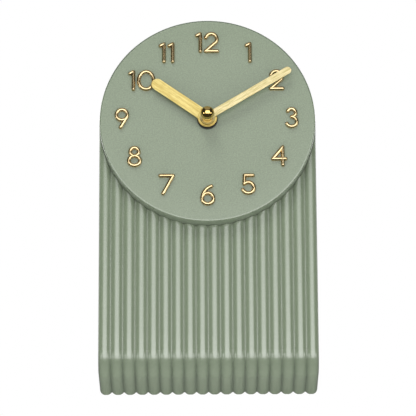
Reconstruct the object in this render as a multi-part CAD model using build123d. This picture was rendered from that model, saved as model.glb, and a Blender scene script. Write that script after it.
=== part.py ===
from build123d import *
import math
import os

# Reeded arch-top mantel clock with a quartz movement, in millimetres.
# X runs to the right, Y to the rear and Z up. The origin is the middle of the footprint box, on the
# surface that the clock stands on. A depth is measured rearwards from the crests of the front ribs.

# Case
CASE_WIDTH = 112.0
CASE_DEPTH = 39.6
DIAL_HEIGHT = 134.5
SIDE_WALL = 2.6
FRONT_WALL = 4.4
RIB_COUNT = 18
RIB_RISE = 1.78
GROOVE_FILLET = 0.5
FOOT_RADIUS = 12.0
FOOT_FLAT = 0.12
BOSS_RADIUS = 3.5
COVER_BOSS_INSET = 10.0
COVER_BOSS_LOW = 34.0
COVER_BOSS_RISE = 26.0

# Dial and numerals
DIAL_REVEAL = 0.3
DIAL_PROUD = 5.2
DIAL_SEAT = 2.0
DIAL_SKIN = 2.4
DIAL_EDGE_FILLET = 0.4
DIAL_SEAT_GAP = 0.2
DIAL_HUB_RADIUS = 8.0
DIAL_BOSS_RADIUS = 3.0
DIAL_SCREW_CIRCLE = 38.0
DIAL_SCREW_COUNT = 3
NUMERAL_INSET = 13.5
NUMERAL_LIFT = 0.8
NUMERAL_SHIFT = {1: 0.2, 2: -0.6, 3: 1.4, 4: 0.3, 5: -0.2, 8: -1.1, 9: -2.0, 10: 2.6}
NUMERAL_HEIGHT = 11.7
NUMERAL_STROKE = 1.95
NUMERAL_RISE = 1.6
NUMERAL_BEVEL = 0.4
DIGIT_GAP = 0.75

# Digits, drawn by stroke middles on a grid that is ten units high about the digit's middle
GRID_ROW_COUNT = 10
DIGIT_STROKES = {
    0: [("ring", (0, 0), 4.0, 5.0)],
    1: [("line", (0.95, -5), (0.95, 5)), ("line", (0.95, 5), (-0.95, 4.0))],
    2: [("arc", (-0.1, 1.95), 3.05, 165, -203), ("line", (2.3, 0.07), (-3.2, -5)),
        ("line", (-3.2, -5), (3.2, -5))],
    3: [("arc", (-0.2, 2.75), 2.25, 155, -245), ("arc", (-0.2, -2.25), 2.75, 90, -245)],
    4: [("line", (1.9, -5), (1.9, 5)), ("line", (1.9, 5), (-3.4, -1.6)),
        ("line", (-3.4, -1.6), (3.4, -1.6))],
    5: [("arc", (0.2, -1.95), 3.05, 135, -295), ("line", (-1.96, 0.2), (-1.75, 5)),
        ("line", (-1.75, 5), (2.7, 5))],
    6: [("ring", (0, -2.0), 3.0, 3.0), ("arc", (4.2, -2.0), 7.2, 180, -72)],
    7: [("line", (-3.4, 5), (3.4, 5)), ("line", (3.4, 5), (-1.9, -5))],
    8: [("ring", (0, 2.7), 2.3, 2.3), ("ring", (0, -2.3), 3.0, 2.7)],
    9: [("ring", (0, 2.05), 2.95, 2.95), ("line", (2.55, 0.57), (-0.7, -5))],
}

# Hands, as heights in front of the dial face
TIME_SHOWN = {"hour": 10, "minute": 9.73}
HOUR_HAND_LEAD = 0.9
BUSH_REACH = 2.2
HOUR_PIPE_REACH = 3.9
HOUR_HAND_HEIGHT = 2.8
MINUTE_HAND_HEIGHT = 4.1
HAND_THICKNESS = 0.5
HOUR_HAND_LENGTH = 34.9
HOUR_HAND_WIDTH = 6.2
HOUR_HUB_RADIUS = 5.0
MINUTE_HAND_LENGTH = 50.8
MINUTE_HAND_WIDTH = 3.9
MINUTE_HUB_RADIUS = 3.9
BALL_RADIUS = 3.6
BALL_CENTRE = 9.8
NUT_NECK_RADIUS = 2.7
ARBOR_END_RADIUS = 1.4
ARBOR_END_REACH = 8.2

# Bush, pipes and their running fits
BUSH_RADIUS = 4.0
HOUR_PIPE_RADIUS = 2.7
MINUTE_ARBOR_RADIUS = 1.8
RUNNING_FIT = 0.05
BUSH_NUT_RADIUS = 5.3
BUSH_NUT_THICKNESS = 1.8
HOLE_CLEARANCE = 0.2
WASHER_THICKNESS = 1.0
WASHER_RADIUS = 9.0

# Movement case
MOVEMENT_CORNER = 3.0
TRAY_FRONT = 1.5
TRAY_WALL = 1.2
CHAMBER_HEIGHT = 13.3
LID_THICKNESS = 1.7
BAY_WALL = 1.2
LID_SCREW_INSET = 3.2
LID_SCREW_LOW = -8.6
LID_BOSS_RADIUS = 2.2
LID_PILOT_RADIUS = 0.8
LID_HEAD_RADIUS = 1.6
PIVOT_RADIUS = 0.45
PIVOT_LENGTH = 0.9
PIVOT_END_PLAY = 0.1
ARBOR_RADIUS = 0.6
END_SHAKE = 0.3

# Gears: tooth sizes are shares of the module, thicknesses are shares of the tooth pitch
WHEEL_TOOTH = {"addendum": 0.45, "dedendum": 1.05, "root": 0.52, "pitch": 0.42, "tip": 0.24}
PINION_TOOTH = {"addendum": 0.80, "dedendum": 0.70, "root": 0.34, "pitch": 0.34, "tip": 0.14}
MOTION_MODULE = 0.4
THIRD_MODULE = 0.3
STEP_MODULE = 0.36
ROTOR_MODULE = 0.3
PINION_TEETH = 8
CANNON_TEETH = 10
MOTION_TEETH = 30
HOUR_TEETH = 32
CENTRE_TEETH = 64
THIRD_TEETH = 60
SECONDS_TEETH = 48
STEP_TEETH = 40

# Levels of the gears above the tray floor, front and rear of each layer
HOUR_LAYER = (0.3, 1.5)
CANNON_LAYER = (1.6, 3.0)
CENTRE_LAYER = (3.4, 4.6)
THIRD_LAYER = (5.0, 6.4)
SECONDS_LAYER = (6.8, 8.0)
STEP_LAYER = (8.4, 9.6)
ROTOR_LAYER = (9.9, 12.3)
STATOR_LAYER = (10.7, 11.5)
BOARD_LAYER = (11.9, 12.9)
CORE_THICKNESS = 0.8
MOTION_POST_RADIUS = 0.7
MOTION_POST_RISE = 0.2
CLUTCH_STEM_RADIUS = 1.0
CLUTCH_COLLAR_RADIUS = 1.5
CLUTCH_COLLAR = 0.25
CLUTCH_SPRING_RADIUS = 2.6
CLUTCH_GAP = 0.025
SECONDS_PIN_RADIUS = 0.5
SECONDS_PIN_LENGTH = 3.0
ROTOR_RADIUS = 3.0
ROTOR_GAP = 0.6
KNOB_RADIUS = 6.5
KNOB_HATCH_GAP = 2.3
KNOB_LIFT = 0.6
KNOB_SHAFT_RADIUS = 1.5
KNOB_FLUTES = 20
KNOB_FLUTE_RADIUS = 0.6

# Motor coil, circuit and cell, placed from the movement's centre
COIL_LEFT = -21.5
COIL_RIGHT = -13.0
COIL_HEIGHT = 17.0
COIL_FLANGE = 1.0
COIL_TUBE_WALL = 0.7
CORE_WIDTH = 4.0
FLANGE_MARGIN = 2.5
WINDING_MARGIN = 1.8
STATOR_LEFT = -25.5
STATOR_RIGHT = -9.0
STATOR_WALL_GAP = 1.3
STATOR_BOTTOM = -4.6
STATOR_ARM = 3.5
STATOR_YOKE = 5.5
STATOR_POST_RADIUS = 1.2
STATOR_POST_HEIGHT = 11.0
BOARD_LEFT = 5.0
BOARD_RIGHT = 25.0
BOARD_LOW = 6.0
BOARD_HIGH = 22.0
BOARD_POST_RADIUS = 1.3
BOARD_POST_INSET = 2.6
CHIP_RADIUS = 2.5
CHIP_THICKNESS = 1.0
CHIP_ROUNDING = 0.6
CRYSTAL_RADIUS = 1.0
CRYSTAL_LENGTH = 6.0
CELL_RADIUS = 7.25
CELL_LENGTH = 49.2
CELL_NUB_RADIUS = 2.75
CELL_NUB_LENGTH = 1.3
CELL_SIDE_GAP = 0.25
CONTACT_THICKNESS = 0.4
CONTACT_REACH = 0.85
CONTACT_TOUCH = 0.03
CONTACT_WALL_GAP = 0.3
CONTACT_DIMPLE_RADIUS = 1.5
CONTACT_PLATE_DROP = 4.5
STRIP_WIDTH = 1.2
STRIP_RUN = 20.4
STRIP_SPLIT = 3.4
STRIP_DROP = 0.4

# Back of the case
COVER_INSET = 1.5
COVER_THICKNESS = 2.5
COVER_GAP = 0.3
HATCH_MARGIN = 4.0
HATCH_CORNER = 6.0
HATCH_FLANGE = 1.2
HATCH_LIP = 3.0
HATCH_PLUG = 2.0
HATCH_GAP = 0.3
FINGER_RADIUS = 9.0
FINGER_DEPTH = 1.2
WEIGHT_WIDTH = 80.0
WEIGHT_HEIGHT = 20.0
WEIGHT_DEPTH = 12.0
WEIGHT_REAR_GAP = 1.0
WEIGHT_SCREW_SPREAD = 28.0

# Screws
SCREW_RADIUS = 1.0
SCREW_HEAD_RADIUS = 2.5
SCREW_HEAD = 1.3
SCREW_SLOT = 0.6
SCREW_BITE = 6.0
SCREW_FIT = 0.03
PILOT_SPARE = 1.0
DIAL_SCREW_BITE = 4.0

# Worked out from the sizes above
FRONT_REACH = DIAL_PROUD + BALL_CENTRE + BALL_RADIUS
MIDDLE_DEPTH = (CASE_DEPTH - FRONT_REACH) / 2
DIAL_RADIUS = CASE_WIDTH / 2 - DIAL_REVEAL
NUMERAL_CIRCLE = DIAL_RADIUS - NUMERAL_INSET
RIB_PITCH = CASE_WIDTH / RIB_COUNT
GRID_UNIT = (NUMERAL_HEIGHT - NUMERAL_STROKE) / GRID_ROW_COUNT
RIB_RADIUS = (RIB_PITCH ** 2 / 4 + RIB_RISE ** 2) / (2 * RIB_RISE)
CAVITY_HALF = CASE_WIDTH / 2 - SIDE_WALL
FLOOR = FRONT_WALL - FOOT_FLAT
COVER_REAR = CASE_DEPTH - COVER_INSET
COVER_FRONT = COVER_REAR - COVER_THICKNESS
TRAY_DEPTH = FRONT_WALL + WASHER_THICKNESS
LEVEL_ZERO = TRAY_DEPTH + TRAY_FRONT
LID_FRONT = LEVEL_ZERO + CHAMBER_HEIGHT
LID_REAR = LID_FRONT + LID_THICKNESS
HOUR_PIPE_BORE = MINUTE_ARBOR_RADIUS + RUNNING_FIT
BUSH_BORE = HOUR_PIPE_RADIUS + RUNNING_FIT
HOUR_ANGLE = 30 * TIME_SHOWN["hour"] + TIME_SHOWN["minute"] / 2 + HOUR_HAND_LEAD
MINUTE_ANGLE = 6 * TIME_SHOWN["minute"]
CENTRE_MODULE = THIRD_MODULE * (THIRD_TEETH + PINION_TEETH) / (CENTRE_TEETH + PINION_TEETH)
MOTION_Z = MOTION_MODULE * (CANNON_TEETH + MOTION_TEETH) / 2
KNOB_Z = 2 * MOTION_Z
THIRD_X = THIRD_MODULE * (THIRD_TEETH + PINION_TEETH) / 2
STEP_X = -STEP_MODULE * (SECONDS_TEETH + PINION_TEETH) / 2
ROTOR_X = STEP_X - ROTOR_MODULE * (STEP_TEETH + PINION_TEETH) / 2
CELL_HALF = (CELL_LENGTH + CELL_NUB_LENGTH) / 2
CONTACT_INNER = CELL_HALF + CONTACT_REACH
CONTACT_OUTER = CONTACT_INNER + CONTACT_THICKNESS
CHAMBER_HALF = max(CONTACT_OUTER + CONTACT_WALL_GAP, STATOR_WALL_GAP - STATOR_LEFT)
MOVEMENT_SIZE = 2 * (CHAMBER_HALF + TRAY_WALL)
HATCH_SIZE = MOVEMENT_SIZE + 2 * HATCH_MARGIN
CELL_Z = CELL_SIDE_GAP + CELL_RADIUS - CHAMBER_HALF
BAY_TOP = CELL_Z + CELL_RADIUS + CELL_SIDE_GAP
BAY_WALL_TOP = BAY_TOP + BAY_WALL
CELL_LEVEL = CELL_SIDE_GAP + CELL_RADIUS
WEIGHT_REAR = COVER_FRONT - WEIGHT_REAR_GAP
WEIGHT_FRONT = WEIGHT_REAR - WEIGHT_DEPTH
WEIGHT_MIDDLE = FLOOR + WEIGHT_HEIGHT / 2


# Helpers

def prism(outline, front, rear):
    """Solid whose outline is drawn in the front view, between two depths."""
    plane = Plane.XZ.offset(MIDDLE_DEPTH - front)
    return extrude(plane * outline, amount=front - rear)


def at_dial(outline, x=0.0, z=0.0):
    """Move a front-view outline so that it is placed from the dial's centre."""
    return Pos(x, DIAL_HEIGHT + z) * outline


def rod(x, z, radius, front, rear):
    """Round bar along the depth, placed from the dial's centre."""
    return prism(at_dial(Circle(radius), x, z), front, rear)


def level(height):
    """Depth of a level above the movement's tray floor."""
    return LEVEL_ZERO + height


def spindle(x, z, radius, low, high):
    """Round bar between two levels of the movement."""
    return rod(x, z, radius, level(low), level(high))


def block(x_range, z_range, front, rear):
    """Box placed from the dial's centre, between two depths."""
    width = x_range[1] - x_range[0]
    height = z_range[1] - z_range[0]
    x_middle = (x_range[0] + x_range[1]) / 2
    z_middle = (z_range[0] + z_range[1]) / 2
    return prism(at_dial(Rectangle(width, height), x_middle, z_middle), front, rear)


def bar(x_range, z_range, low, high):
    """Box between two levels of the movement."""
    return block(x_range, z_range, level(low), level(high))


def arch(half_width, bottom):
    """Front-view outline with an upright lower part and a round top about the dial's centre."""
    straight = DIAL_HEIGHT - bottom
    lower = Pos(0, bottom + straight / 2) * Rectangle(2 * half_width, straight)
    return lower + at_dial(Circle(half_width))


def screw(x, z, seat, length, radius=SCREW_RADIUS, head_radius=SCREW_HEAD_RADIUS):
    """Slotted pan-head screw that is driven forwards, with its head behind the seat depth."""
    body = rod(x, z, radius - SCREW_FIT, seat - length, seat)
    body += rod(x, z, head_radius, seat, seat + SCREW_HEAD)
    slot = block((x - head_radius, x + head_radius), (z - SCREW_SLOT / 2, z + SCREW_SLOT / 2),
                 seat + SCREW_HEAD - SCREW_SLOT, seat + SCREW_HEAD)
    return body - slot


def save(node, *solids):
    """Write one node, as a single solid or as a group of separate solids."""
    shape = solids[0] if len(solids) == 1 else Compound(children=list(solids))
    export_step(shape, f"parts/{node}.step")


def gear(x, z, teeth, module, phase, tooth, layer):
    """Toothed wheel without its bore. The phase is the direction of one tooth, from +X towards +Z."""
    pitch_radius = teeth * module / 2
    root_radius = pitch_radius - tooth["dedendum"] * module
    tip_radius = pitch_radius + tooth["addendum"] * module
    flank = [(root_radius, tooth["root"]), (pitch_radius, tooth["pitch"]), (tip_radius, tooth["tip"])]
    corners = [(radius, -share) for radius, share in flank]
    corners += [(radius, share) for radius, share in reversed(flank)]
    points = []
    for index in range(teeth):
        middle = phase + 2 * math.pi * index / teeth
        for radius, share in corners:
            angle = middle + share * math.pi / teeth
            points.append((radius * math.cos(angle), radius * math.sin(angle)))
    return prism(at_dial(Polygon(*points, align=None), x, z), level(layer[0]), level(layer[1]))


def mesh_phase(teeth, phase, other_teeth, direction):
    """Phase of the gear that lies in a direction from another gear, so that tooth meets gap."""
    return direction + math.pi - (teeth * (phase - direction) + math.pi) / other_teeth


# Ribbed case

def ribbed_face(plane, thickness):
    """Cross-section of the ribbed wall. Its crests are at the plane's local y of zero."""
    half = CASE_WIDTH / 2
    edge_radius = RIB_PITCH / 2
    reach = RIB_RADIUS + GROOVE_FILLET
    fillet_y = math.sqrt(reach ** 2 - edge_radius ** 2) - RIB_RADIUS
    tangent_x = RIB_RADIUS * edge_radius / reach
    tangent_y = RIB_RADIUS * (fillet_y + RIB_RADIUS) / reach - RIB_RADIUS
    turn = edge_radius * math.sqrt(0.5)
    first = edge_radius - half
    edges = [Line((-half, -thickness), (-half, -edge_radius))]
    edges.append(ThreePointArc((-half, -edge_radius), (first - turn, turn - edge_radius), (first, 0)))
    for index in range(RIB_COUNT - 1):
        crest = first + index * RIB_PITCH
        groove = crest + edge_radius
        left = (crest + tangent_x, tangent_y)
        right = (crest + RIB_PITCH - tangent_x, tangent_y)
        start = (crest, 0) if index == 0 else (crest - tangent_x, tangent_y)
        if index == 0:
            lean = math.asin(tangent_x / RIB_RADIUS) / 2
            middle = (crest + RIB_RADIUS * math.sin(lean), RIB_RADIUS * (math.cos(lean) - 1))
        else:
            middle = (crest, 0)
        edges.append(ThreePointArc(start, middle, left))
        edges.append(ThreePointArc(left, (groove, fillet_y - GROOVE_FILLET), right))
    lean = math.asin(tangent_x / RIB_RADIUS) / 2
    middle = (-first - RIB_RADIUS * math.sin(lean), RIB_RADIUS * (math.cos(lean) - 1))
    edges.append(ThreePointArc((-first - tangent_x, tangent_y), middle, (-first, 0)))
    edges.append(ThreePointArc((-first, 0), (turn - first, turn - edge_radius), (half, -edge_radius)))
    edges.append(Line((half, -edge_radius), (half, -thickness)))
    edges.append(Line((half, -thickness), (-half, -thickness)))
    return plane * make_face(edges)


def case_outside():
    """Ribbed block: upright front, rolled foot and underside, cut to the arch."""
    foot_y = FOOT_RADIUS - MIDDLE_DEPTH
    foot_z = FOOT_RADIUS - FOOT_FLAT
    top = DIAL_HEIGHT + CASE_WIDTH / 2
    front_plane = Plane(origin=(0, -MIDDLE_DEPTH, foot_z), x_dir=(1, 0, 0), z_dir=(0, 0, -1))
    under_plane = Plane(origin=(0, foot_y, -FOOT_FLAT), x_dir=(1, 0, 0), z_dir=(0, 1, 0))
    front = extrude(ribbed_face(front_plane, CASE_DEPTH), amount=foot_z - top)
    under = extrude(ribbed_face(under_plane, FOOT_RADIUS), amount=CASE_DEPTH - FOOT_RADIUS)
    foot_axis = Axis((0, foot_y, foot_z), (1, 0, 0))
    roll = revolve(ribbed_face(front_plane, FOOT_RADIUS), foot_axis, 90)
    return (front + under + roll) & prism(arch(CASE_WIDTH / 2, 0), 0, CASE_DEPTH)


def cover_boss_places():
    """Centres of the four rear screws, from the dial's centre."""
    side = CASE_WIDTH / 2 - COVER_BOSS_INSET
    low = COVER_BOSS_LOW - DIAL_HEIGHT
    high_x = math.sqrt((CAVITY_HALF - BOSS_RADIUS) ** 2 - COVER_BOSS_RISE ** 2) - SIDE_WALL
    return [(-side, low), (side, low), (-high_x, COVER_BOSS_RISE), (high_x, COVER_BOSS_RISE)]


def weight_boss_places():
    """Centres of the two screws that hold the foot weight, from the dial's centre."""
    height = WEIGHT_MIDDLE - DIAL_HEIGHT
    return [(-WEIGHT_SCREW_SPREAD, height), (WEIGHT_SCREW_SPREAD, height)]


def dial_screw_places():
    """Centres of the dial screws, the first above the dial's centre."""
    places = []
    for index in range(DIAL_SCREW_COUNT):
        angle = math.pi / 2 + 2 * math.pi * index / DIAL_SCREW_COUNT
        places.append((DIAL_SCREW_CIRCLE * math.cos(angle), DIAL_SCREW_CIRCLE * math.sin(angle)))
    return places


def make_case():
    shell = case_outside()
    cavity = prism(arch(CAVITY_HALF, FLOOR), FRONT_WALL, CASE_DEPTH)
    heel = cavity.edges().filter_by(Axis.X).sort_by(Axis.Y)[0]
    shell -= fillet(heel, FOOT_RADIUS - FRONT_WALL)
    upper = Pos(0, DIAL_HEIGHT + CASE_WIDTH / 2) * Rectangle(2 * CASE_WIDTH, CASE_WIDTH)
    shell -= prism(at_dial(Circle(DIAL_RADIUS + DIAL_SEAT_GAP)) + upper, -DIAL_SEAT, DIAL_SEAT)
    shell -= rod(0, 0, BUSH_RADIUS + HOLE_CLEARANCE, 0, FRONT_WALL)
    for x, z in dial_screw_places():
        shell -= rod(x, z, SCREW_RADIUS + HOLE_CLEARANCE, 0, FRONT_WALL)
    bosses = [(x, z, COVER_FRONT) for x, z in cover_boss_places()]
    bosses += [(x, z, WEIGHT_FRONT) for x, z in weight_boss_places()]
    for x, z, rear in bosses:
        shell += rod(x, z, BOSS_RADIUS, FRONT_WALL, rear)
        shell -= rod(x, z, SCREW_RADIUS, rear - SCREW_BITE - PILOT_SPARE, rear)
    save("case_shell", shell)


# Dial, numerals and hands

def make_dial():
    disc = rod(0, 0, DIAL_RADIUS, -DIAL_PROUD, DIAL_SEAT)
    disc = fillet(disc.edges().sort_by(Axis.Y)[0], DIAL_EDGE_FILLET)
    skin_rear = DIAL_SKIN - DIAL_PROUD
    dial = disc - rod(0, 0, DIAL_RADIUS - DIAL_SKIN, skin_rear, DIAL_SEAT)
    dial += rod(0, 0, DIAL_HUB_RADIUS, skin_rear, DIAL_SEAT)
    dial -= rod(0, 0, BUSH_RADIUS + HOLE_CLEARANCE, -DIAL_PROUD, DIAL_SEAT)
    for x, z in dial_screw_places():
        dial += rod(x, z, DIAL_BOSS_RADIUS, skin_rear, DIAL_SEAT)
        dial -= rod(x, z, SCREW_RADIUS, DIAL_SEAT - DIAL_SCREW_BITE - PILOT_SPARE, DIAL_SEAT)
    save("dial_plate", dial)


def on_grid(point):
    """Place of a point of the digits' drawing grid."""
    return (point[0] * GRID_UNIT, point[1] * GRID_UNIT)


def round_end(place):
    return Pos(*place) * Circle(NUMERAL_STROKE / 2)


def line_stroke(start, end):
    """Straight stroke with round ends."""
    start = on_grid(start)
    end = on_grid(end)
    return round_end(start) + round_end(end) + trace(Line(start, end), NUMERAL_STROKE)


def arc_stroke(centre, radius, start, sweep):
    """Arc stroke with round ends, from a start angle through a sweep, both in degrees."""
    path = CenterArc(on_grid(centre), radius * GRID_UNIT, start, sweep)
    ends = round_end(tuple(path @ 0)) + round_end(tuple(path @ 1))
    return ends + trace(path, NUMERAL_STROKE)


def ring_stroke(centre, x_radius, z_radius):
    """Closed oval stroke."""
    half = NUMERAL_STROKE / 2
    x_middle, z_middle = on_grid((x_radius, z_radius))
    outer = Ellipse(x_middle + half, z_middle + half)
    return Pos(*on_grid(centre)) * (outer - Ellipse(x_middle - half, z_middle - half))


def digit(number):
    """Strokes of one digit, as outlines about the digit's own middle."""
    pens = {"line": line_stroke, "arc": arc_stroke, "ring": ring_stroke}
    return [pens[kind](*sizes) for kind, *sizes in DIGIT_STROKES[number]]


def raised_digit(strokes, x, z):
    """Fuse bevelled strokes into one applied digit, placed from the dial's centre."""
    solids = []
    for stroke in strokes:
        bar_solid = prism(at_dial(stroke, x, z), -DIAL_PROUD - NUMERAL_RISE, -DIAL_PROUD)
        rim = bar_solid.faces().sort_by(Axis.Y)[0].edges()
        solids.append(chamfer(rim, NUMERAL_BEVEL))
    whole = solids[0]
    for solid in solids[1:]:
        whole += solid
    return whole


def make_numerals():
    for hour in range(1, 13):
        digits = [digit(int(mark)) for mark in str(hour)]
        boxes = [Compound(children=list(strokes)).bounding_box() for strokes in digits]
        left = -(sum(box.size.X for box in boxes) + DIGIT_GAP * (len(boxes) - 1)) / 2
        angle = math.radians(30 * hour)
        across = NUMERAL_CIRCLE * math.sin(angle) + NUMERAL_SHIFT.get(hour, 0)
        rise = NUMERAL_CIRCLE * math.cos(angle) + NUMERAL_LIFT
        solids = []
        for strokes, box in zip(digits, boxes):
            solids.append(raised_digit(strokes, left - box.min.X + across, rise))
            left += box.size.X + DIGIT_GAP
        save(f"numeral_{hour}", *solids)


def hand(length, width, hub_radius, hole_radius, angle, height):
    """Flat stamped hand with a round tip, turned clockwise from twelve."""
    straight = length - width / 2
    outline = Pos(0, straight / 2) * Rectangle(width, straight)
    outline += Pos(0, straight) * Circle(width / 2)
    outline += Circle(hub_radius)
    outline -= Circle(hole_radius)
    rear = -DIAL_PROUD - height
    return prism(at_dial(Rot(0, 0, -angle) * outline), rear - HAND_THICKNESS, rear)


def make_hands():
    save("hour_hand", hand(HOUR_HAND_LENGTH, HOUR_HAND_WIDTH, HOUR_HUB_RADIUS, HOUR_PIPE_RADIUS,
                           HOUR_ANGLE, HOUR_HAND_HEIGHT))
    save("minute_hand", hand(MINUTE_HAND_LENGTH, MINUTE_HAND_WIDTH, MINUTE_HUB_RADIUS, ARBOR_END_RADIUS,
                             MINUTE_ANGLE, MINUTE_HAND_HEIGHT))
    neck_rear = -DIAL_PROUD - MINUTE_HAND_HEIGHT - HAND_THICKNESS
    ball_depth = -DIAL_PROUD - BALL_CENTRE
    ball = Pos(0, ball_depth - MIDDLE_DEPTH, DIAL_HEIGHT) * Sphere(BALL_RADIUS)
    nut = ball + rod(0, 0, NUT_NECK_RADIUS, ball_depth, neck_rear)
    nut -= rod(0, 0, ARBOR_END_RADIUS, -DIAL_PROUD - ARBOR_END_REACH - PIVOT_END_PLAY, neck_rear)
    save("hand_nut", nut)
    ring_front = -DIAL_PROUD - BUSH_NUT_THICKNESS
    ring = rod(0, 0, BUSH_NUT_RADIUS, ring_front, -DIAL_PROUD)
    save("bush_nut", ring - rod(0, 0, BUSH_RADIUS + SCREW_FIT, ring_front, -DIAL_PROUD))


# Movement case

def pivoted_arbor(x, z, low, high):
    """Plain arbor between two levels, with a pivot at each end for the tray floor and the lid."""
    arbor = spindle(x, z, ARBOR_RADIUS, END_SHAKE, CHAMBER_HEIGHT - END_SHAKE)
    arbor += spindle(x, z, PIVOT_RADIUS, -PIVOT_LENGTH, CHAMBER_HEIGHT + PIVOT_LENGTH)
    return arbor & spindle(x, z, MOVEMENT_SIZE, low, high)


def lid_screw_places():
    side = MOVEMENT_SIZE / 2 - LID_SCREW_INSET
    return [(-side, LID_SCREW_LOW), (side, LID_SCREW_LOW), (-side, side), (side, side)]


def board_post_places():
    x = BOARD_RIGHT - BOARD_POST_INSET
    return [(x, BOARD_LOW + BOARD_POST_INSET), (x, BOARD_HIGH - BOARD_POST_INSET)]


def stator_post_places():
    inset = STATOR_ARM / 2
    return [(STATOR_LEFT + inset, STATOR_POST_HEIGHT), (STATOR_RIGHT - inset, STATOR_POST_HEIGHT)]


def pivot_hole(x, z, radius=PIVOT_RADIUS):
    """Blind bearing holes in the tray floor and the lid for one arbor."""
    bore = radius + RUNNING_FIT
    depth = PIVOT_LENGTH + PIVOT_END_PLAY
    front = spindle(x, z, bore, -depth, 0)
    rear = spindle(x, z, bore, CHAMBER_HEIGHT, CHAMBER_HEIGHT + depth)
    return front, rear


def movement_outline():
    return at_dial(RectangleRounded(MOVEMENT_SIZE, MOVEMENT_SIZE, MOVEMENT_CORNER))


def make_movement_case():
    tray = prism(movement_outline(), TRAY_DEPTH, LID_FRONT)
    side = (-CHAMBER_HALF, CHAMBER_HALF)
    tray -= bar(side, (BAY_WALL_TOP, CHAMBER_HALF), 0, CHAMBER_HEIGHT)
    tray -= bar(side, (-CHAMBER_HALF, BAY_TOP), 0, CHAMBER_HEIGHT)
    for direction in (-1, 1):
        near = direction * (STRIP_RUN - HOLE_CLEARANCE)
        far = direction * (STRIP_RUN + STRIP_WIDTH + HOLE_CLEARANCE)
        notch = (min(near, far), max(near, far))
        tray -= bar(notch, (BAY_TOP, BAY_WALL_TOP), BOARD_LAYER[0], CHAMBER_HEIGHT)
    for x, z in lid_screw_places():
        tray += spindle(x, z, LID_BOSS_RADIUS, 0, CHAMBER_HEIGHT)
        tray -= spindle(x, z, LID_PILOT_RADIUS, CHAMBER_HEIGHT - SCREW_BITE - PILOT_SPARE, CHAMBER_HEIGHT)
    for x, z in board_post_places():
        tray += spindle(x, z, BOARD_POST_RADIUS, 0, BOARD_LAYER[0])
    for x, z in stator_post_places():
        tray += spindle(x, z, STATOR_POST_RADIUS, 0, STATOR_LAYER[0])
    tray += spindle(0, MOTION_Z, MOTION_POST_RADIUS, 0, CANNON_LAYER[1] + MOTION_POST_RISE)
    tray += rod(0, 0, BUSH_RADIUS, -DIAL_PROUD - BUSH_REACH, TRAY_DEPTH)
    tray -= rod(0, 0, BUSH_BORE, -DIAL_PROUD - BUSH_REACH, LEVEL_ZERO)
    lid_low = BAY_WALL_TOP - BAY_WALL / 2
    lid = prism(movement_outline(), LID_FRONT, LID_REAR)
    lid &= block((-MOVEMENT_SIZE, MOVEMENT_SIZE), (lid_low, MOVEMENT_SIZE), LID_FRONT, LID_REAR)
    for x, z in ((THIRD_X, 0), (STEP_X, 0), (ROTOR_X, 0), (0, KNOB_Z)):
        front, rear = pivot_hole(x, z)
        tray -= front
        if z == 0:
            lid -= rear
    lid -= pivot_hole(0, 0)[1]
    lid -= rod(0, KNOB_Z, KNOB_SHAFT_RADIUS + RUNNING_FIT, LID_FRONT, LID_REAR)
    for x, z in lid_screw_places():
        lid -= rod(x, z, LID_PILOT_RADIUS + HOLE_CLEARANCE, LID_FRONT, LID_REAR)
    save("movement_front", tray)
    save("movement_back", lid)
    length = LID_THICKNESS + SCREW_BITE
    save("lid_screws", *[screw(x, z, LID_REAR, length, LID_PILOT_RADIUS, LID_HEAD_RADIUS)
                         for x, z in lid_screw_places()])
    washer = rod(0, 0, WASHER_RADIUS, FRONT_WALL, TRAY_DEPTH)
    save("bush_washer", washer - rod(0, 0, BUSH_RADIUS + HOLE_CLEARANCE, FRONT_WALL, TRAY_DEPTH))


# Wheels

def pinion(x, z, module, phase, layer, teeth=PINION_TEETH):
    return gear(x, z, teeth, module, phase, PINION_TOOTH, layer)


def wheel(x, z, teeth, module, phase, layer):
    return gear(x, z, teeth, module, phase, WHEEL_TOOTH, layer)


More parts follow.
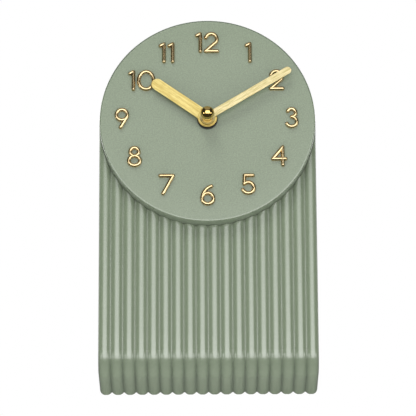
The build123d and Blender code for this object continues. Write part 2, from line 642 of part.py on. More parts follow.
def make_motion_work():
    up = math.pi / 2
    motion_phase = mesh_phase(CANNON_TEETH, 0, MOTION_TEETH, up)
    hour_phase = mesh_phase(PINION_TEETH, 0, HOUR_TEETH, -up)
    knob_phase = mesh_phase(MOTION_TEETH, motion_phase, CANNON_TEETH, up)
    dial_face = -DIAL_PROUD

    arbor = rod(0, 0, MINUTE_ARBOR_RADIUS, dial_face - MINUTE_HAND_HEIGHT, level(CANNON_LAYER[0]))
    arbor += rod(0, 0, ARBOR_END_RADIUS, dial_face - ARBOR_END_REACH, dial_face - MINUTE_HAND_HEIGHT)
    arbor += pinion(0, 0, MOTION_MODULE, 0, CANNON_LAYER, CANNON_TEETH)
    collar_front = CENTRE_LAYER[1] + RUNNING_FIT
    collar_rear = collar_front + CLUTCH_COLLAR
    arbor += spindle(0, 0, CLUTCH_STEM_RADIUS, CANNON_LAYER[1], collar_rear)
    arbor += spindle(0, 0, CLUTCH_COLLAR_RADIUS, collar_front, collar_rear)
    pin_tip = THIRD_LAYER[0] - SECONDS_PIN_LENGTH
    arbor -= spindle(0, 0, SECONDS_PIN_RADIUS + RUNNING_FIT, pin_tip - PIVOT_END_PLAY, collar_rear)
    save("minute_arbor", arbor)

    spring = spindle(0, 0, CLUTCH_SPRING_RADIUS, CANNON_LAYER[1], CENTRE_LAYER[0] - CLUTCH_GAP)
    spring -= spindle(0, 0, CLUTCH_STEM_RADIUS, CANNON_LAYER[1], CENTRE_LAYER[0])
    save("clutch_spring", spring)

    motion = wheel(0, MOTION_Z, MOTION_TEETH, MOTION_MODULE, motion_phase, CANNON_LAYER)
    motion += pinion(0, MOTION_Z, MOTION_MODULE, 0, (HOUR_LAYER[0], CANNON_LAYER[0]))
    motion -= spindle(0, MOTION_Z, MOTION_POST_RADIUS + RUNNING_FIT, HOUR_LAYER[0], CANNON_LAYER[1])
    save("motion_wheel", motion)

    hour = wheel(0, 0, HOUR_TEETH, MOTION_MODULE, hour_phase, HOUR_LAYER)
    hour += rod(0, 0, HOUR_PIPE_RADIUS, dial_face - HOUR_PIPE_REACH, level(HOUR_LAYER[0]))
    hour -= rod(0, 0, HOUR_PIPE_BORE, dial_face - HOUR_PIPE_REACH, level(HOUR_LAYER[1]))
    save("hour_wheel", hour)

    knob_front = LID_REAR + KNOB_LIFT
    knob_rear = COVER_REAR - HATCH_FLANGE - HATCH_PLUG - KNOB_HATCH_GAP
    head = Circle(KNOB_RADIUS)
    for index in range(KNOB_FLUTES):
        head -= Rot(0, 0, 360 * index / KNOB_FLUTES) * Pos(KNOB_RADIUS, 0) * Circle(KNOB_FLUTE_RADIUS)
    knob = prism(at_dial(head, 0, KNOB_Z), knob_front, knob_rear)
    knob += rod(0, KNOB_Z, KNOB_SHAFT_RADIUS, level(CANNON_LAYER[1]), knob_front)
    knob += pinion(0, KNOB_Z, MOTION_MODULE, knob_phase, CANNON_LAYER, CANNON_TEETH)
    knob += pivoted_arbor(0, KNOB_Z, -PIVOT_LENGTH, CANNON_LAYER[0])
    save("setting_knob", knob)


def make_going_train():
    left = math.pi
    centre_phase = mesh_phase(PINION_TEETH, 0, CENTRE_TEETH, left)
    third_phase = mesh_phase(PINION_TEETH, 0, THIRD_TEETH, 0)
    seconds_phase = mesh_phase(PINION_TEETH, 0, SECONDS_TEETH, 0)
    step_phase = mesh_phase(PINION_TEETH, 0, STEP_TEETH, 0)
    whole = (-PIVOT_LENGTH, CHAMBER_HEIGHT + PIVOT_LENGTH)

    centre = wheel(0, 0, CENTRE_TEETH, CENTRE_MODULE, centre_phase, CENTRE_LAYER)
    save("centre_wheel", centre - spindle(0, 0, CLUTCH_STEM_RADIUS + RUNNING_FIT, *CENTRE_LAYER))

    third = pivoted_arbor(THIRD_X, 0, *whole)
    third += pinion(THIRD_X, 0, CENTRE_MODULE, 0, CENTRE_LAYER)
    third += wheel(THIRD_X, 0, THIRD_TEETH, THIRD_MODULE, third_phase, THIRD_LAYER)
    save("third_wheel", third)

    seconds = pivoted_arbor(0, 0, THIRD_LAYER[0], whole[1])
    seconds += pinion(0, 0, THIRD_MODULE, 0, THIRD_LAYER)
    seconds += wheel(0, 0, SECONDS_TEETH, STEP_MODULE, seconds_phase, SECONDS_LAYER)
    seconds += spindle(0, 0, SECONDS_PIN_RADIUS, THIRD_LAYER[0] - SECONDS_PIN_LENGTH, THIRD_LAYER[0])
    save("seconds_wheel", seconds)

    step = pivoted_arbor(STEP_X, 0, *whole)
    step += pinion(STEP_X, 0, STEP_MODULE, 0, SECONDS_LAYER)
    step += wheel(STEP_X, 0, STEP_TEETH, ROTOR_MODULE, step_phase, STEP_LAYER)
    save("step_wheel", step)

    rotor = pivoted_arbor(ROTOR_X, 0, *whole)
    rotor += pinion(ROTOR_X, 0, ROTOR_MODULE, 0, STEP_LAYER)
    rotor += spindle(ROTOR_X, 0, ROTOR_RADIUS, *ROTOR_LAYER)
    save("rotor", rotor)


# Motor, circuit and cell

def make_motor():
    arm_top = COIL_HEIGHT + CORE_WIDTH / 2
    stator = bar((STATOR_LEFT, STATOR_RIGHT), (STATOR_BOTTOM, arm_top), *STATOR_LAYER)
    inside = (STATOR_LEFT + STATOR_ARM, STATOR_RIGHT - STATOR_ARM)
    stator -= bar(inside, (STATOR_YOKE, arm_top), *STATOR_LAYER)
    stator -= spindle(ROTOR_X, 0, ROTOR_RADIUS + ROTOR_GAP, *STATOR_LAYER)
    stator -= spindle(STEP_X, 0, ARBOR_RADIUS + ROTOR_GAP, *STATOR_LAYER)
    save("stator", stator)

    core_layer = (STATOR_LAYER[0] - CORE_THICKNESS, STATOR_LAYER[0])
    core_z = (COIL_HEIGHT - CORE_WIDTH / 2, COIL_HEIGHT + CORE_WIDTH / 2)
    save("coil_core", bar((STATOR_LEFT, STATOR_RIGHT), core_z, *core_layer))

    def wrap(x_range, margin):
        low = core_layer[0] - margin
        high = min(core_layer[1] + margin, CHAMBER_HEIGHT - RUNNING_FIT)
        return bar(x_range, (core_z[0] - margin, core_z[1] + margin), low, high)

    whole = (COIL_LEFT, COIL_RIGHT)
    spool = (COIL_LEFT + COIL_FLANGE, COIL_RIGHT - COIL_FLANGE)
    core_hole = wrap(whole, SCREW_FIT)
    tube = wrap(whole, COIL_TUBE_WALL)
    flanges = wrap(whole, FLANGE_MARGIN) - wrap(spool, FLANGE_MARGIN)
    save("coil_bobbin", tube + flanges - core_hole)
    save("coil_winding", wrap(spool, WINDING_MARGIN) - wrap(spool, COIL_TUBE_WALL))


def make_circuit():
    save("circuit_board", bar((BOARD_LEFT, BOARD_RIGHT), (BOARD_LOW, BOARD_HIGH), *BOARD_LAYER))
    chip_x = (BOARD_LEFT + BOARD_RIGHT) / 2
    chip_z = (BOARD_LOW + BOARD_HIGH) / 2
    chip = spindle(chip_x, chip_z, CHIP_RADIUS, BOARD_LAYER[0] - CHIP_THICKNESS, BOARD_LAYER[0])
    save("chip_cover", fillet(chip.edges().sort_by(Axis.Y)[0], CHIP_ROUNDING))
    crystal_y = level(BOARD_LAYER[0]) - CRYSTAL_RADIUS - SCREW_FIT - MIDDLE_DEPTH
    crystal_z = DIAL_HEIGHT + BOARD_LOW + BOARD_POST_INSET
    start = Plane(origin=(BOARD_LEFT + CRYSTAL_RADIUS, crystal_y, crystal_z), z_dir=(1, 0, 0))
    save("quartz_crystal", extrude(start * Circle(CRYSTAL_RADIUS), amount=CRYSTAL_LENGTH))


def make_cell():
    y = level(CELL_LEVEL) - MIDDLE_DEPTH
    z = DIAL_HEIGHT + CELL_Z

    def along(radius, left, right):
        start = Plane(origin=(left, y, z), z_dir=(1, 0, 0))
        return extrude(start * Circle(radius), amount=right - left)

    nub_start = CELL_HALF - CELL_NUB_LENGTH
    cell = along(CELL_RADIUS, -CELL_HALF, nub_start)
    save("battery_cell", cell + along(CELL_NUB_RADIUS, nub_start, CELL_HALF))

    inner = CONTACT_INNER
    outer = CONTACT_OUTER
    strip_high = BOARD_LAYER[1] - STRIP_DROP
    strip = (strip_high - CONTACT_THICKNESS, strip_high)
    shelf = (BAY_TOP - STRIP_WIDTH, BAY_TOP - HOLE_CLEARANCE)
    plate_z = (CELL_Z - CONTACT_PLATE_DROP, shelf[1])
    run_far = STRIP_RUN + STRIP_WIDTH

    positive = bar((inner, outer), plate_z, STRIP_WIDTH, strip[1])
    positive += bar((STRIP_RUN, outer), shelf, *strip)
    positive += bar((STRIP_RUN, run_far), (shelf[0], BOARD_LOW), *strip)
    save("contact_positive", positive + along(CONTACT_DIMPLE_RADIUS, CELL_HALF + CONTACT_TOUCH, inner))

    rail_z = (BAY_WALL_TOP + HOLE_CLEARANCE, BAY_WALL_TOP + HOLE_CLEARANCE + STRIP_WIDTH)
    riser_right = STRIP_RUN - STRIP_SPLIT
    negative = bar((-outer, -inner), plate_z, STRIP_WIDTH, strip[1])
    negative += bar((-outer, -STRIP_RUN), shelf, *strip)
    negative += bar((-run_far, -STRIP_RUN), (shelf[0], rail_z[1]), *strip)
    negative += bar((-run_far, riser_right), rail_z, *strip)
    negative += bar((riser_right - STRIP_WIDTH, riser_right), (rail_z[0], BOARD_LOW), *strip)
    save("contact_negative", negative + along(CONTACT_DIMPLE_RADIUS, -inner, -CELL_HALF - CONTACT_TOUCH))


# Back of the case

def make_back():
    window = HATCH_SIZE - 2 * HATCH_LIP
    flange_front = COVER_REAR - HATCH_FLANGE

    def panel(size, front, rear):
        corner = HATCH_CORNER - (HATCH_SIZE - size) / 2
        return prism(at_dial(RectangleRounded(size, size, corner)), front, rear)

    cover = prism(arch(CAVITY_HALF - COVER_GAP, FLOOR + COVER_GAP), COVER_FRONT, COVER_REAR)
    cover -= panel(window + 2 * HATCH_GAP, COVER_FRONT, COVER_REAR)
    cover -= panel(HATCH_SIZE + 2 * HATCH_GAP, flange_front, COVER_REAR)
    cover -= rod(0, -HATCH_SIZE / 2, FINGER_RADIUS, COVER_REAR - FINGER_DEPTH, COVER_REAR)
    for x, z in cover_boss_places():
        cover -= rod(x, z, SCREW_RADIUS + HOLE_CLEARANCE, COVER_FRONT, COVER_REAR)
    save("rear_cover", cover)

    hatch = panel(HATCH_SIZE, flange_front, COVER_REAR)
    hatch += panel(window, flange_front - HATCH_PLUG, flange_front)
    save("battery_hatch", hatch)

    length = COVER_THICKNESS + SCREW_BITE
    save("rear_screws", *[screw(x, z, COVER_REAR, length) for x, z in cover_boss_places()])
    length = FRONT_WALL - DIAL_SEAT + DIAL_SCREW_BITE
    save("dial_screws", *[screw(x, z, FRONT_WALL, length) for x, z in dial_screw_places()])


def make_weight():
    bottom = FLOOR - DIAL_HEIGHT
    half = WEIGHT_WIDTH / 2
    weight = block((-half, half), (bottom, bottom + WEIGHT_HEIGHT), WEIGHT_FRONT, WEIGHT_REAR)
    sunk = WEIGHT_REAR - SCREW_HEAD
    for x, z in weight_boss_places():
        weight -= rod(x, z, SCREW_RADIUS + HOLE_CLEARANCE, WEIGHT_FRONT, WEIGHT_REAR)
        weight -= rod(x, z, SCREW_HEAD_RADIUS + HOLE_CLEARANCE, sunk, WEIGHT_REAR)
    save("foot_weight", weight)
    length = sunk - WEIGHT_FRONT + SCREW_BITE
    save("weight_screws", *[screw(x, z, sunk, length) for x, z in weight_boss_places()])


os.makedirs("parts", exist_ok=True)
make_case()
make_dial()
make_numerals()
make_hands()
make_movement_case()
make_motion_work()
make_going_train()
make_motor()
make_circuit()
make_cell()
make_back()
make_weight()
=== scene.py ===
# %% [markdown]
# A reeded arch-top mantel clock. The imported frame brings every solid of the clock, in metres and at its
# real place. This lesson dresses it: shapes that need finer rounding are made again over their solids,
# and each surface gets a finish made of nodes. The first cell loads the frame and can read each solid's box.

# %% Load the frame
import math
import bmesh
import bpy
from mathutils import Matrix, Vector


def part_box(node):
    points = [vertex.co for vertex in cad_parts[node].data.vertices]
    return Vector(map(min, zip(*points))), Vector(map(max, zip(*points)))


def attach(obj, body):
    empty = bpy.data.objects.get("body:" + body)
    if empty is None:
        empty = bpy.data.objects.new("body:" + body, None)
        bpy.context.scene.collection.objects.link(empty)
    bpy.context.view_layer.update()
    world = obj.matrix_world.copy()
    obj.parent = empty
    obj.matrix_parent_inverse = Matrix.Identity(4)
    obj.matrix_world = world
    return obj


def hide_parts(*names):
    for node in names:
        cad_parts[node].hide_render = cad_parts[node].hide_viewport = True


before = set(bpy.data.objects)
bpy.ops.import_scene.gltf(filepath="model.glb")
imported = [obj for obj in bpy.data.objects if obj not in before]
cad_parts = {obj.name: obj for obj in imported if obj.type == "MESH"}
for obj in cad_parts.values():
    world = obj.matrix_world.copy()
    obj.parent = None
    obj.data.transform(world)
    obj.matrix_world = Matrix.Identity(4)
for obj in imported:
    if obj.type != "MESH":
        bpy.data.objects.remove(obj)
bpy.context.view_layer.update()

# %% [markdown]
# The clock's own sizes come from the boxes of its solids, so a changed solid carries its dressing along.
# A box can't show the thickness of the case's wall or the roll of its foot, so these are named here once.
# Depth starts at the crests of the front ribs, which are the foremost line of the case.

# %% Sizes read from the frame
MM = 0.001
case_low, case_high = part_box("case_shell")
dial_low, dial_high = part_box("dial_plate")
CREST_Y = case_low.y
REAR_Y = case_high.y
HALF_WIDTH = case_high.x
DIAL_RADIUS = dial_high.x
DIAL_Z = (dial_low.z + dial_high.z) / 2
FACE_Y = dial_low.y
DIAL_SEAT_Y = dial_high.y
FRONT_WALL = 4.4 * MM
FOOT_RADIUS = 12.0 * MM
FOOT_FLAT = 0.12 * MM
print("case", HALF_WIDTH * 2, "wide, dial centre at", DIAL_Z)

# %% [markdown]
# Node trees are easier to read as sums than as wires. This small class wraps one socket: plus, minus and
# the other signs add a Math node, and one method makes every other node from its type, its sockets and
# its settings. It serves the shape trees and the finishes alike.

# %% A socket that does arithmetic
class Wire:
    """One output of a node. Arithmetic on it adds Math nodes to the same tree."""

    def __init__(self, socket):
        self.socket = socket

    @classmethod
    def make(cls, tree, kind, sockets=None, out=0, **settings):
        """Add a node with its settings, give its sockets values or wires, and wrap one of its outputs."""
        node = tree.nodes.new(kind)
        for name, setting in settings.items():
            setattr(node, name, setting)
        for key, value in (sockets or {}).items():
            for item in value if isinstance(value, list) else [value]:
                if isinstance(item, Wire):
                    tree.links.new(item.socket, node.inputs[key])
                else:
                    node.inputs[key].default_value = item
        return cls(node.outputs[out])

    def out(self, key):
        return Wire(self.socket.node.outputs[key])

    def math(self, operation, first, second=0.0):
        return Wire.make(self.socket.id_data, "ShaderNodeMath", {0: first, 1: second}, operation=operation)

    def __add__(self, other):
        return self.math("ADD", self, other)

    def __radd__(self, other):
        return self.math("ADD", other, self)

    def __sub__(self, other):
        return self.math("SUBTRACT", self, other)

    def __rsub__(self, other):
        return self.math("SUBTRACT", other, self)

    def __mul__(self, other):
        return self.math("MULTIPLY", self, other)

    def __rmul__(self, other):
        return self.math("MULTIPLY", other, self)

    def __truediv__(self, other):
        return self.math("DIVIDE", self, other)

    def __rtruediv__(self, other):
        return self.math("DIVIDE", other, self)

    def __lt__(self, other):
        return self.math("LESS_THAN", self, other)

    def __gt__(self, other):
        return self.math("GREATER_THAN", self, other)

    def __abs__(self):
        return self.math("ABSOLUTE", self)

    def fn(self, operation, other=0.0):
        return self.math(operation, self, other)

    def clamp(self):
        return self.fn("MAXIMUM", 0.0).fn("MINIMUM", 1.0)


def split(tree, place):
    """The three coordinates of a place."""
    parts = Wire.make(tree, "ShaderNodeSeparateXYZ", {0: place})
    return parts.out("X"), parts.out("Y"), parts.out("Z")


def xyz(tree, x=0.0, y=0.0, z=0.0):
    """A place from its three coordinates."""
    return Wire.make(tree, "ShaderNodeCombineXYZ", {0: x, 1: y, 2: z})


print("wire class ready")

# %% [markdown]
# A shape tree is a recipe with named inputs. These helpers open a tree with its inputs, and run it on a
# holder object to get a plain mesh, because a plain mesh is what the finished clock keeps.

# %% Open a shape tree, and run it
SOCKET_KINDS = {float: "NodeSocketFloat", int: "NodeSocketInt", bpy.types.Material: "NodeSocketMaterial"}


def linked(title, data):
    """A new object of the scene that shows this data."""
    thing = bpy.data.objects.new(title, data)
    bpy.context.collection.objects.link(thing)
    return thing


def plain_mesh(holder):
    """The shape that an object shows, as a mesh. The object itself goes."""
    graph = bpy.context.evaluated_depsgraph_get()
    mesh = bpy.data.meshes.new_from_object(holder.evaluated_get(graph))
    bpy.data.objects.remove(holder)
    return mesh


def open_tree(title, values):
    """A shape tree with one input for each named value, and wires from these inputs."""
    tree = bpy.data.node_groups.new(title, "GeometryNodeTree")
    tree.interface.new_socket("Geometry", in_out="INPUT", socket_type="NodeSocketGeometry")
    for name, value in values.items():
        tree.interface.new_socket(name, in_out="INPUT", socket_type=SOCKET_KINDS[type(value)])
    tree.interface.new_socket("Geometry", in_out="OUTPUT", socket_type="NodeSocketGeometry")
    entry = tree.nodes.new("NodeGroupInput")
    return tree, {name: Wire(entry.outputs[name]) for name in ["Geometry", *values]}


def close_tree(tree, shape, material):
    whole = Wire.make(tree, "GeometryNodeRealizeInstances", {0: shape})
    painted = Wire.make(tree, "GeometryNodeSetMaterial", {"Geometry": whole, "Material": material})
    tree.links.new(painted.socket, tree.nodes.new("NodeGroupOutput").inputs[0])
    return tree


def grow(tree, values, start=None):
    """Run a shape tree with these values, on a start mesh or on nothing."""
    holder = linked(tree.name, start or bpy.data.meshes.new(tree.name))
    modifier = holder.modifiers.new("shape", "NODES")
    modifier.node_group = tree
    for item in tree.interface.items_tree:
        if item.in_out == "INPUT" and item.name in values:
            modifier[item.identifier] = values[item.name]
    return plain_mesh(holder)


print("tree helpers ready")

# %% [markdown]
# Lathe work: the dial cap, the ball nut and the black ring are turned pieces, so each is a profile spun
# about the dial's axis. A profile is a closed list of radius and distance in front of the dial face.
# Spinning it in mesh code gives closed rings with no seam to weld.

# %% Helpers for turned pieces and for finished objects
MESH_WELD = 1e-6
SLIVER = 1e-7
SMOOTH_LIMIT = 35.0


def arc_points(centre, x_radius, z_radius, start, turn, steps):
    """Points along an arc, from a start angle through a turn, both in degrees."""
    points = []
    for index in range(steps + 1):
        angle = math.radians(start + turn * index / steps)
        points.append((centre[0] + x_radius * math.cos(angle), centre[1] + z_radius * math.sin(angle)))
    return points


def turned(bm, profile, segments, x=0.0, z=DIAL_Z, base_y=FACE_Y):
    """Spin a closed profile of radius and height in front of a base about an axis along the depth."""
    rings = []
    for index in range(segments):
        angle = 2 * math.pi * index / segments
        ring = []
        for radius, height in profile:
            place = (x + radius * math.cos(angle), base_y - height, z + radius * math.sin(angle))
            ring.append(bm.verts.new(place))
        rings.append(ring)
    count = len(profile)
    for index, here in enumerate(rings):
        there = rings[(index + 1) % segments]
        for k in range(count):
            after = (k + 1) % count
            bm.faces.new((here[k], here[after], there[after], there[k]))


def joined(*meshes):
    """One editable mesh that holds several meshes."""
    bm = bmesh.new()
    for mesh in meshes:
        bm.from_mesh(mesh)
    return bm


def as_mesh(bm, title):
    mesh = bpy.data.meshes.new(title)
    bm.to_mesh(mesh)
    bm.free()
    return mesh


def settle(bm, title):
    """Merge doubles, turn the faces outwards and keep the result as a mesh."""
    bmesh.ops.remove_doubles(bm, verts=bm.verts, dist=MESH_WELD)
    bmesh.ops.dissolve_degenerate(bm, edges=bm.edges, dist=SLIVER)
    bmesh.ops.recalc_face_normals(bm, faces=bm.faces)
    return as_mesh(bm, title)


def lathe(title, profile, segments):
    """A piece turned about the dial's axis."""
    bm = bmesh.new()
    turned(bm, profile, segments)
    return settle(bm, title)


def finished(title, mesh, material, body, slot, *nodes, sharp=SMOOTH_LIMIT):
    """Make a smooth-shaded piece of the clock that stands for some solids and rides on a body."""
    mesh.name = title
    mesh.materials.clear()
    mesh.materials.append(material)
    mesh.shade_smooth()
    mesh.set_sharp_from_angle(angle=math.radians(sharp))
    piece = linked(title, mesh)
    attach(piece, body)
    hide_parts(*nodes)
    print(title, len(mesh.polygons), "faces")
    return piece


print("shape helpers ready")

# %% [markdown]
# Finishes start from one Principled shader. Colours are written as they would be picked on a screen, so a
# helper turns them into the linear values that the shader wants. Every finish reads Object coordinates,
# which here are real metres, so a noise of scale 1000 has grains of about a millimetre.

# %% Helpers for finishes
SHADER = "Principled BSDF"
finishes = {}


def rgb(red, green, blue):
    """Linear values of a colour that is picked on a screen."""
    linear = []
    for part in (red, green, blue):
        value = part / 255
        linear.append(value / 12.92 if value <= 0.04045 else ((value + 0.055) / 1.055) ** 2.4)
    return (*linear, 1.0)


def new_finish(title, **constants):
    """Start a finish: keep it by its title, set constants, and give its tree and Object coordinates."""
    finishes[title] = bpy.data.materials.new(title)
    finishes[title].use_nodes = True
    tree = finishes[title].node_tree
    for name, value in constants.items():
        tree.nodes[SHADER].inputs[name.replace("_", " ")].default_value = value
    return tree, Wire.make(tree, "ShaderNodeTexCoord", out="Object")


def feed(tree, **wires):
    """Join wires to the shader's sockets of the same names."""
    for name, wire in wires.items():
        tree.links.new(wire.socket, tree.nodes[SHADER].inputs[name.replace("_", " ")])


def noise(tree, place, scale, detail=2.0, rough=0.5):
    sockets = {"Vector": place, "Scale": scale, "Detail": detail, "Roughness": rough}
    return Wire.make(tree, "ShaderNodeTexNoise", sockets)


def turned_place(tree, place, turn=(0.0, 0.0, 0.0), stretch=(1.0, 1.0, 1.0)):
    return Wire.make(tree, "ShaderNodeMapping", {"Vector": place, "Rotation": turn, "Scale": stretch})


def blended(tree, share, first, second):
    """A colour between two colours, which are sockets 6 and 7 of the Mix node."""
    return Wire.make(tree, "ShaderNodeMix", {0: share, 6: first, 7: second}, out=2, data_type="RGBA")


def bumped(tree, height, strength, distance):
    return Wire.make(tree, "ShaderNodeBump", {"Height": height, "Strength": strength, "Distance": distance})


print("finish helpers ready")

# %% [markdown]
# The case and dial are moulded and sprayed with a sage green lacquer. On the ribs it is glossy: each crest
# carries a sharp pale line. The dial's face and the plain sides are rubbed down to satin. So is the foot,
# which wears where it rolls under, less and less towards the rear. Spray leaves a faint orange-peel, a
# slow drift in tone and, on the dial, a fine speckle. Shade is painted into the colour: the grooves are
# darkened, more on the foot, and so is the dial's upper edge. The shape tree of the case stores how deep
# each point lies in a groove, counted deeper on the foot, and the finish reads it to paint that shade.

# %% Sage lacquer
SAGE = rgb(107, 118, 98)
SAGE_SHADE = rgb(88, 99, 80)
# Painted shade: the colour that the grooves and the dial's upper edge are darkened towards.
SAGE_PAINTED_SHADE = rgb(71, 82, 66)
DIAL_EDGE = 0.8 * MM
SIDE_SKIN = 0.9 * MM
FOOT_WEAR = 45.0 * MM
GLOSS = 0.26
SATIN_STEP = 0.2
GRAIN_STEP = 0.1
DRIFT_SHARE = 0.13
MOTTLE_SHARE = 0.09
# How much painted shade the grooves get.
GROOVE_SHADE_SHARE = 0.3


def from_axis(x, rise):
    return (x * x + rise * rise).fn("SQRT")


def on_dial_face(x, y, z):
    face = from_axis(x, z - DIAL_Z) < DIAL_RADIUS - DIAL_EDGE
    return face.fn("MAXIMUM", y > FACE_Y + DIAL_EDGE)


def on_side_or_foot(x, y, z):
    side = from_axis(x, (z - DIAL_Z).fn("MAXIMUM", 0.0)) > HALF_WIDTH - SIDE_SKIN
    rolled = ((y - CREST_Y) / FOOT_RADIUS).clamp()
    fading = (1.0 - (y - CREST_Y - FOOT_RADIUS) / FOOT_WEAR).clamp()
    return side.fn("MAXIMUM", rolled * fading * (z < FOOT_RADIUS))


def sage_lacquer(title, satin_zone, depth_of_tone, speckling, edge_painted_shade):
    """Glossy lacquer, rubbed down to satin where a test on the place says so."""
    tree, place = new_finish(title, IOR=1.8, Coat_IOR=1.6, Coat_Roughness=0.17)
    drift = noise(tree, place, scale=38.0, detail=3.0)
    mottle = noise(tree, place, scale=700.0)
    speckle = noise(tree, place, scale=1600.0, detail=1.0)
    peel = noise(tree, place, scale=1500.0)
    grain = noise(tree, place, scale=5200.0, detail=1.0)
    groove = Wire.make(tree, "ShaderNodeAttribute", out="Fac", attribute_name="groove")
    x, y, z = split(tree, place)
    satin = satin_zone(x, y, z)
    spray = drift * DRIFT_SHARE + mottle * MOTTLE_SHARE + (speckle - 0.5) * speckling
    tone = blended(tree, (spray + depth_of_tone).clamp(), SAGE, SAGE_SHADE)
    # Painted shade on the dial's upper edge: the rolled edge darkens more towards the top of the dial.
    upper = ((z - DIAL_Z) / DIAL_RADIUS * 2.0).clamp()
    # Painted shade: the grooves are darkened by their depth, and the dial's upper edge by its share.
    painted_shade = groove * groove * GROOVE_SHADE_SHARE + (1.0 - satin) * upper * edge_painted_shade
    colour = blended(tree, painted_shade, tone, SAGE_PAINTED_SHADE)
    gloss = GLOSS + satin * SATIN_STEP + (grain - 0.5) * GRAIN_STEP
    relief = bumped(tree, peel + grain * 0.3, strength=0.1, distance=0.06 * MM)
    feed(tree, Base_Color=colour, Roughness=gloss, Coat_Weight=1.0 - satin, Normal=relief)


# The dial's edge share paints shade on the upper part of its rolled edge; the case gets none.
sage_lacquer("case_lacquer", on_side_or_foot, depth_of_tone=0.39, speckling=0.3, edge_painted_shade=0.0)
sage_lacquer("dial_lacquer", on_dial_face, depth_of_tone=0.51, speckling=2.2, edge_painted_shade=0.9)
print("lacquers", len(finishes))

# %% [markdown]
# Gold comes in two finishes: polished for the numerals and the ball, and brushed for the hands. Polishing
# leaves fine swirls that only show in the gloss, and the ball is yellower than the numerals. Brushing
# leaves long scratches along the hand, so a noise is stretched along it, turned to the hand's own
# direction. On the round hub, turned rings take the place of the scratches. The hub is also painted darker
# as shade from the ball nut, and the rings' phase lays their dark bands as painted shade.

# %% Gold finishes
# Painted shade: the hub's level paints it darker, as in the ball nut's shade, and the ring phase lays its
# dark bands.
HUB_RING_PITCH = 1.1 * MM
HUB_RING_SHADE_PHASE = 2.14
HUB_RING_SWING = 0.25
HUB_SHADE_LEVEL = 0.85
HUB_GLOSS_STEP = 0.12
BRUSH_CONTRAST = 2.6
BRUSH_SQUEEZE = (1.0, 1.0, 0.06)


def polished_gold(title, roughness, pale, deep):
    tree, place = new_finish(title, Metallic=1.0)
    drift = noise(tree, place, scale=160.0, detail=3.0)
    swirl = noise(tree, place, scale=4200.0, detail=4.0, rough=0.7)
    relief = bumped(tree, swirl, strength=0.05, distance=0.02 * MM)
    feed(tree, Base_Color=blended(tree, drift, pale, deep), Roughness=roughness + swirl * 0.06, Normal=relief)


def brushed_gold(title, degrees, pale, deep, hub_radius):
    tree, place = new_finish(title, Metallic=1.0)
    axis = {0: place, 1: (0.0, 0.0, DIAL_Z)}
    centred = Wire.make(tree, "ShaderNodeVectorMath", axis, operation="SUBTRACT")
    along = turned_place(tree, centred, turn=(0.0, -math.radians(degrees), 0.0))
    squeezed = turned_place(tree, along, stretch=BRUSH_SQUEEZE)
    scratch = noise(tree, squeezed, scale=6000.0, detail=3.0, rough=0.65)
    streak = noise(tree, squeezed, scale=1500.0)
    x, _, z = split(tree, centred)
    radius = from_axis(x, z)
    rings = (radius * (2 * math.pi / HUB_RING_PITCH) + HUB_RING_SHADE_PHASE).fn("SINE")
    hub = radius < hub_radius
    brushed = scratch + streak
    # Painted shade on the hub: turned rings set darker than the blade.
    marks = brushed + hub * (rings * HUB_RING_SWING + HUB_SHADE_LEVEL - brushed)
    colour = blended(tree, ((marks - 1.0) * BRUSH_CONTRAST + 0.5).clamp(), deep, pale)
    gloss = 0.34 + scratch * 0.16 - hub * HUB_GLOSS_STEP
    relief = bumped(tree, marks, strength=0.22, distance=0.04 * MM)
    feed(tree, Base_Color=colour, Roughness=gloss, Normal=relief)


polished_gold("numeral_gold", 0.13, rgb(238, 218, 174), rgb(202, 173, 120))
polished_gold("ball_gold", 0.03, rgb(246, 220, 146), rgb(218, 178, 92))
print("finishes with gold", len(finishes))

# %% [markdown]
# The rest of the clock is moulded plastic and plain metal. Moulded plastic has a spark-eroded grain all
# over and a soft gloss. Rolled or turned metal has fine lines. Two recipes with their own colours and
# grain sizes serve most of these pieces, and the oddities follow after them.

# %% Moulded plastic and worked metal
ALONG_X = (0.03, 1.0, 1.0)
ALONG_Z = (1.0, 1.0, 0.03)
FINE_LINES = 3000.0
CAST_LINES = 900.0
UNEVEN_GLOSS = 0.2


def moulded(title, light, dark, roughness, grain_scale):
    tree, place = new_finish(title, IOR=1.5)
    drift = noise(tree, place, scale=60.0, detail=3.0)
    grain = noise(tree, place, grain_scale, rough=0.6)
    colour = blended(tree, (drift * 0.5 + grain * 0.5).clamp(), dark, light)
    relief = bumped(tree, grain, strength=0.35, distance=0.08 * MM)
    feed(tree, Base_Color=colour, Roughness=roughness + (grain - 0.5) * UNEVEN_GLOSS, Normal=relief)


def worked(title, light, dark, roughness, stretch, line_scale=FINE_LINES):
    tree, place = new_finish(title, Metallic=1.0)
    lines = noise(tree, turned_place(tree, place, stretch=stretch), line_scale, detail=3.0, rough=0.6)
    stain = noise(tree, place, scale=220.0, detail=3.0)
    colour = blended(tree, (lines * 0.6 + stain * 0.4).clamp(), dark, light)
    relief = bumped(tree, lines, strength=0.2, distance=0.04 * MM)
    feed(tree, Base_Color=colour, Roughness=roughness + (stain - 0.5) * UNEVEN_GLOSS, Normal=relief)


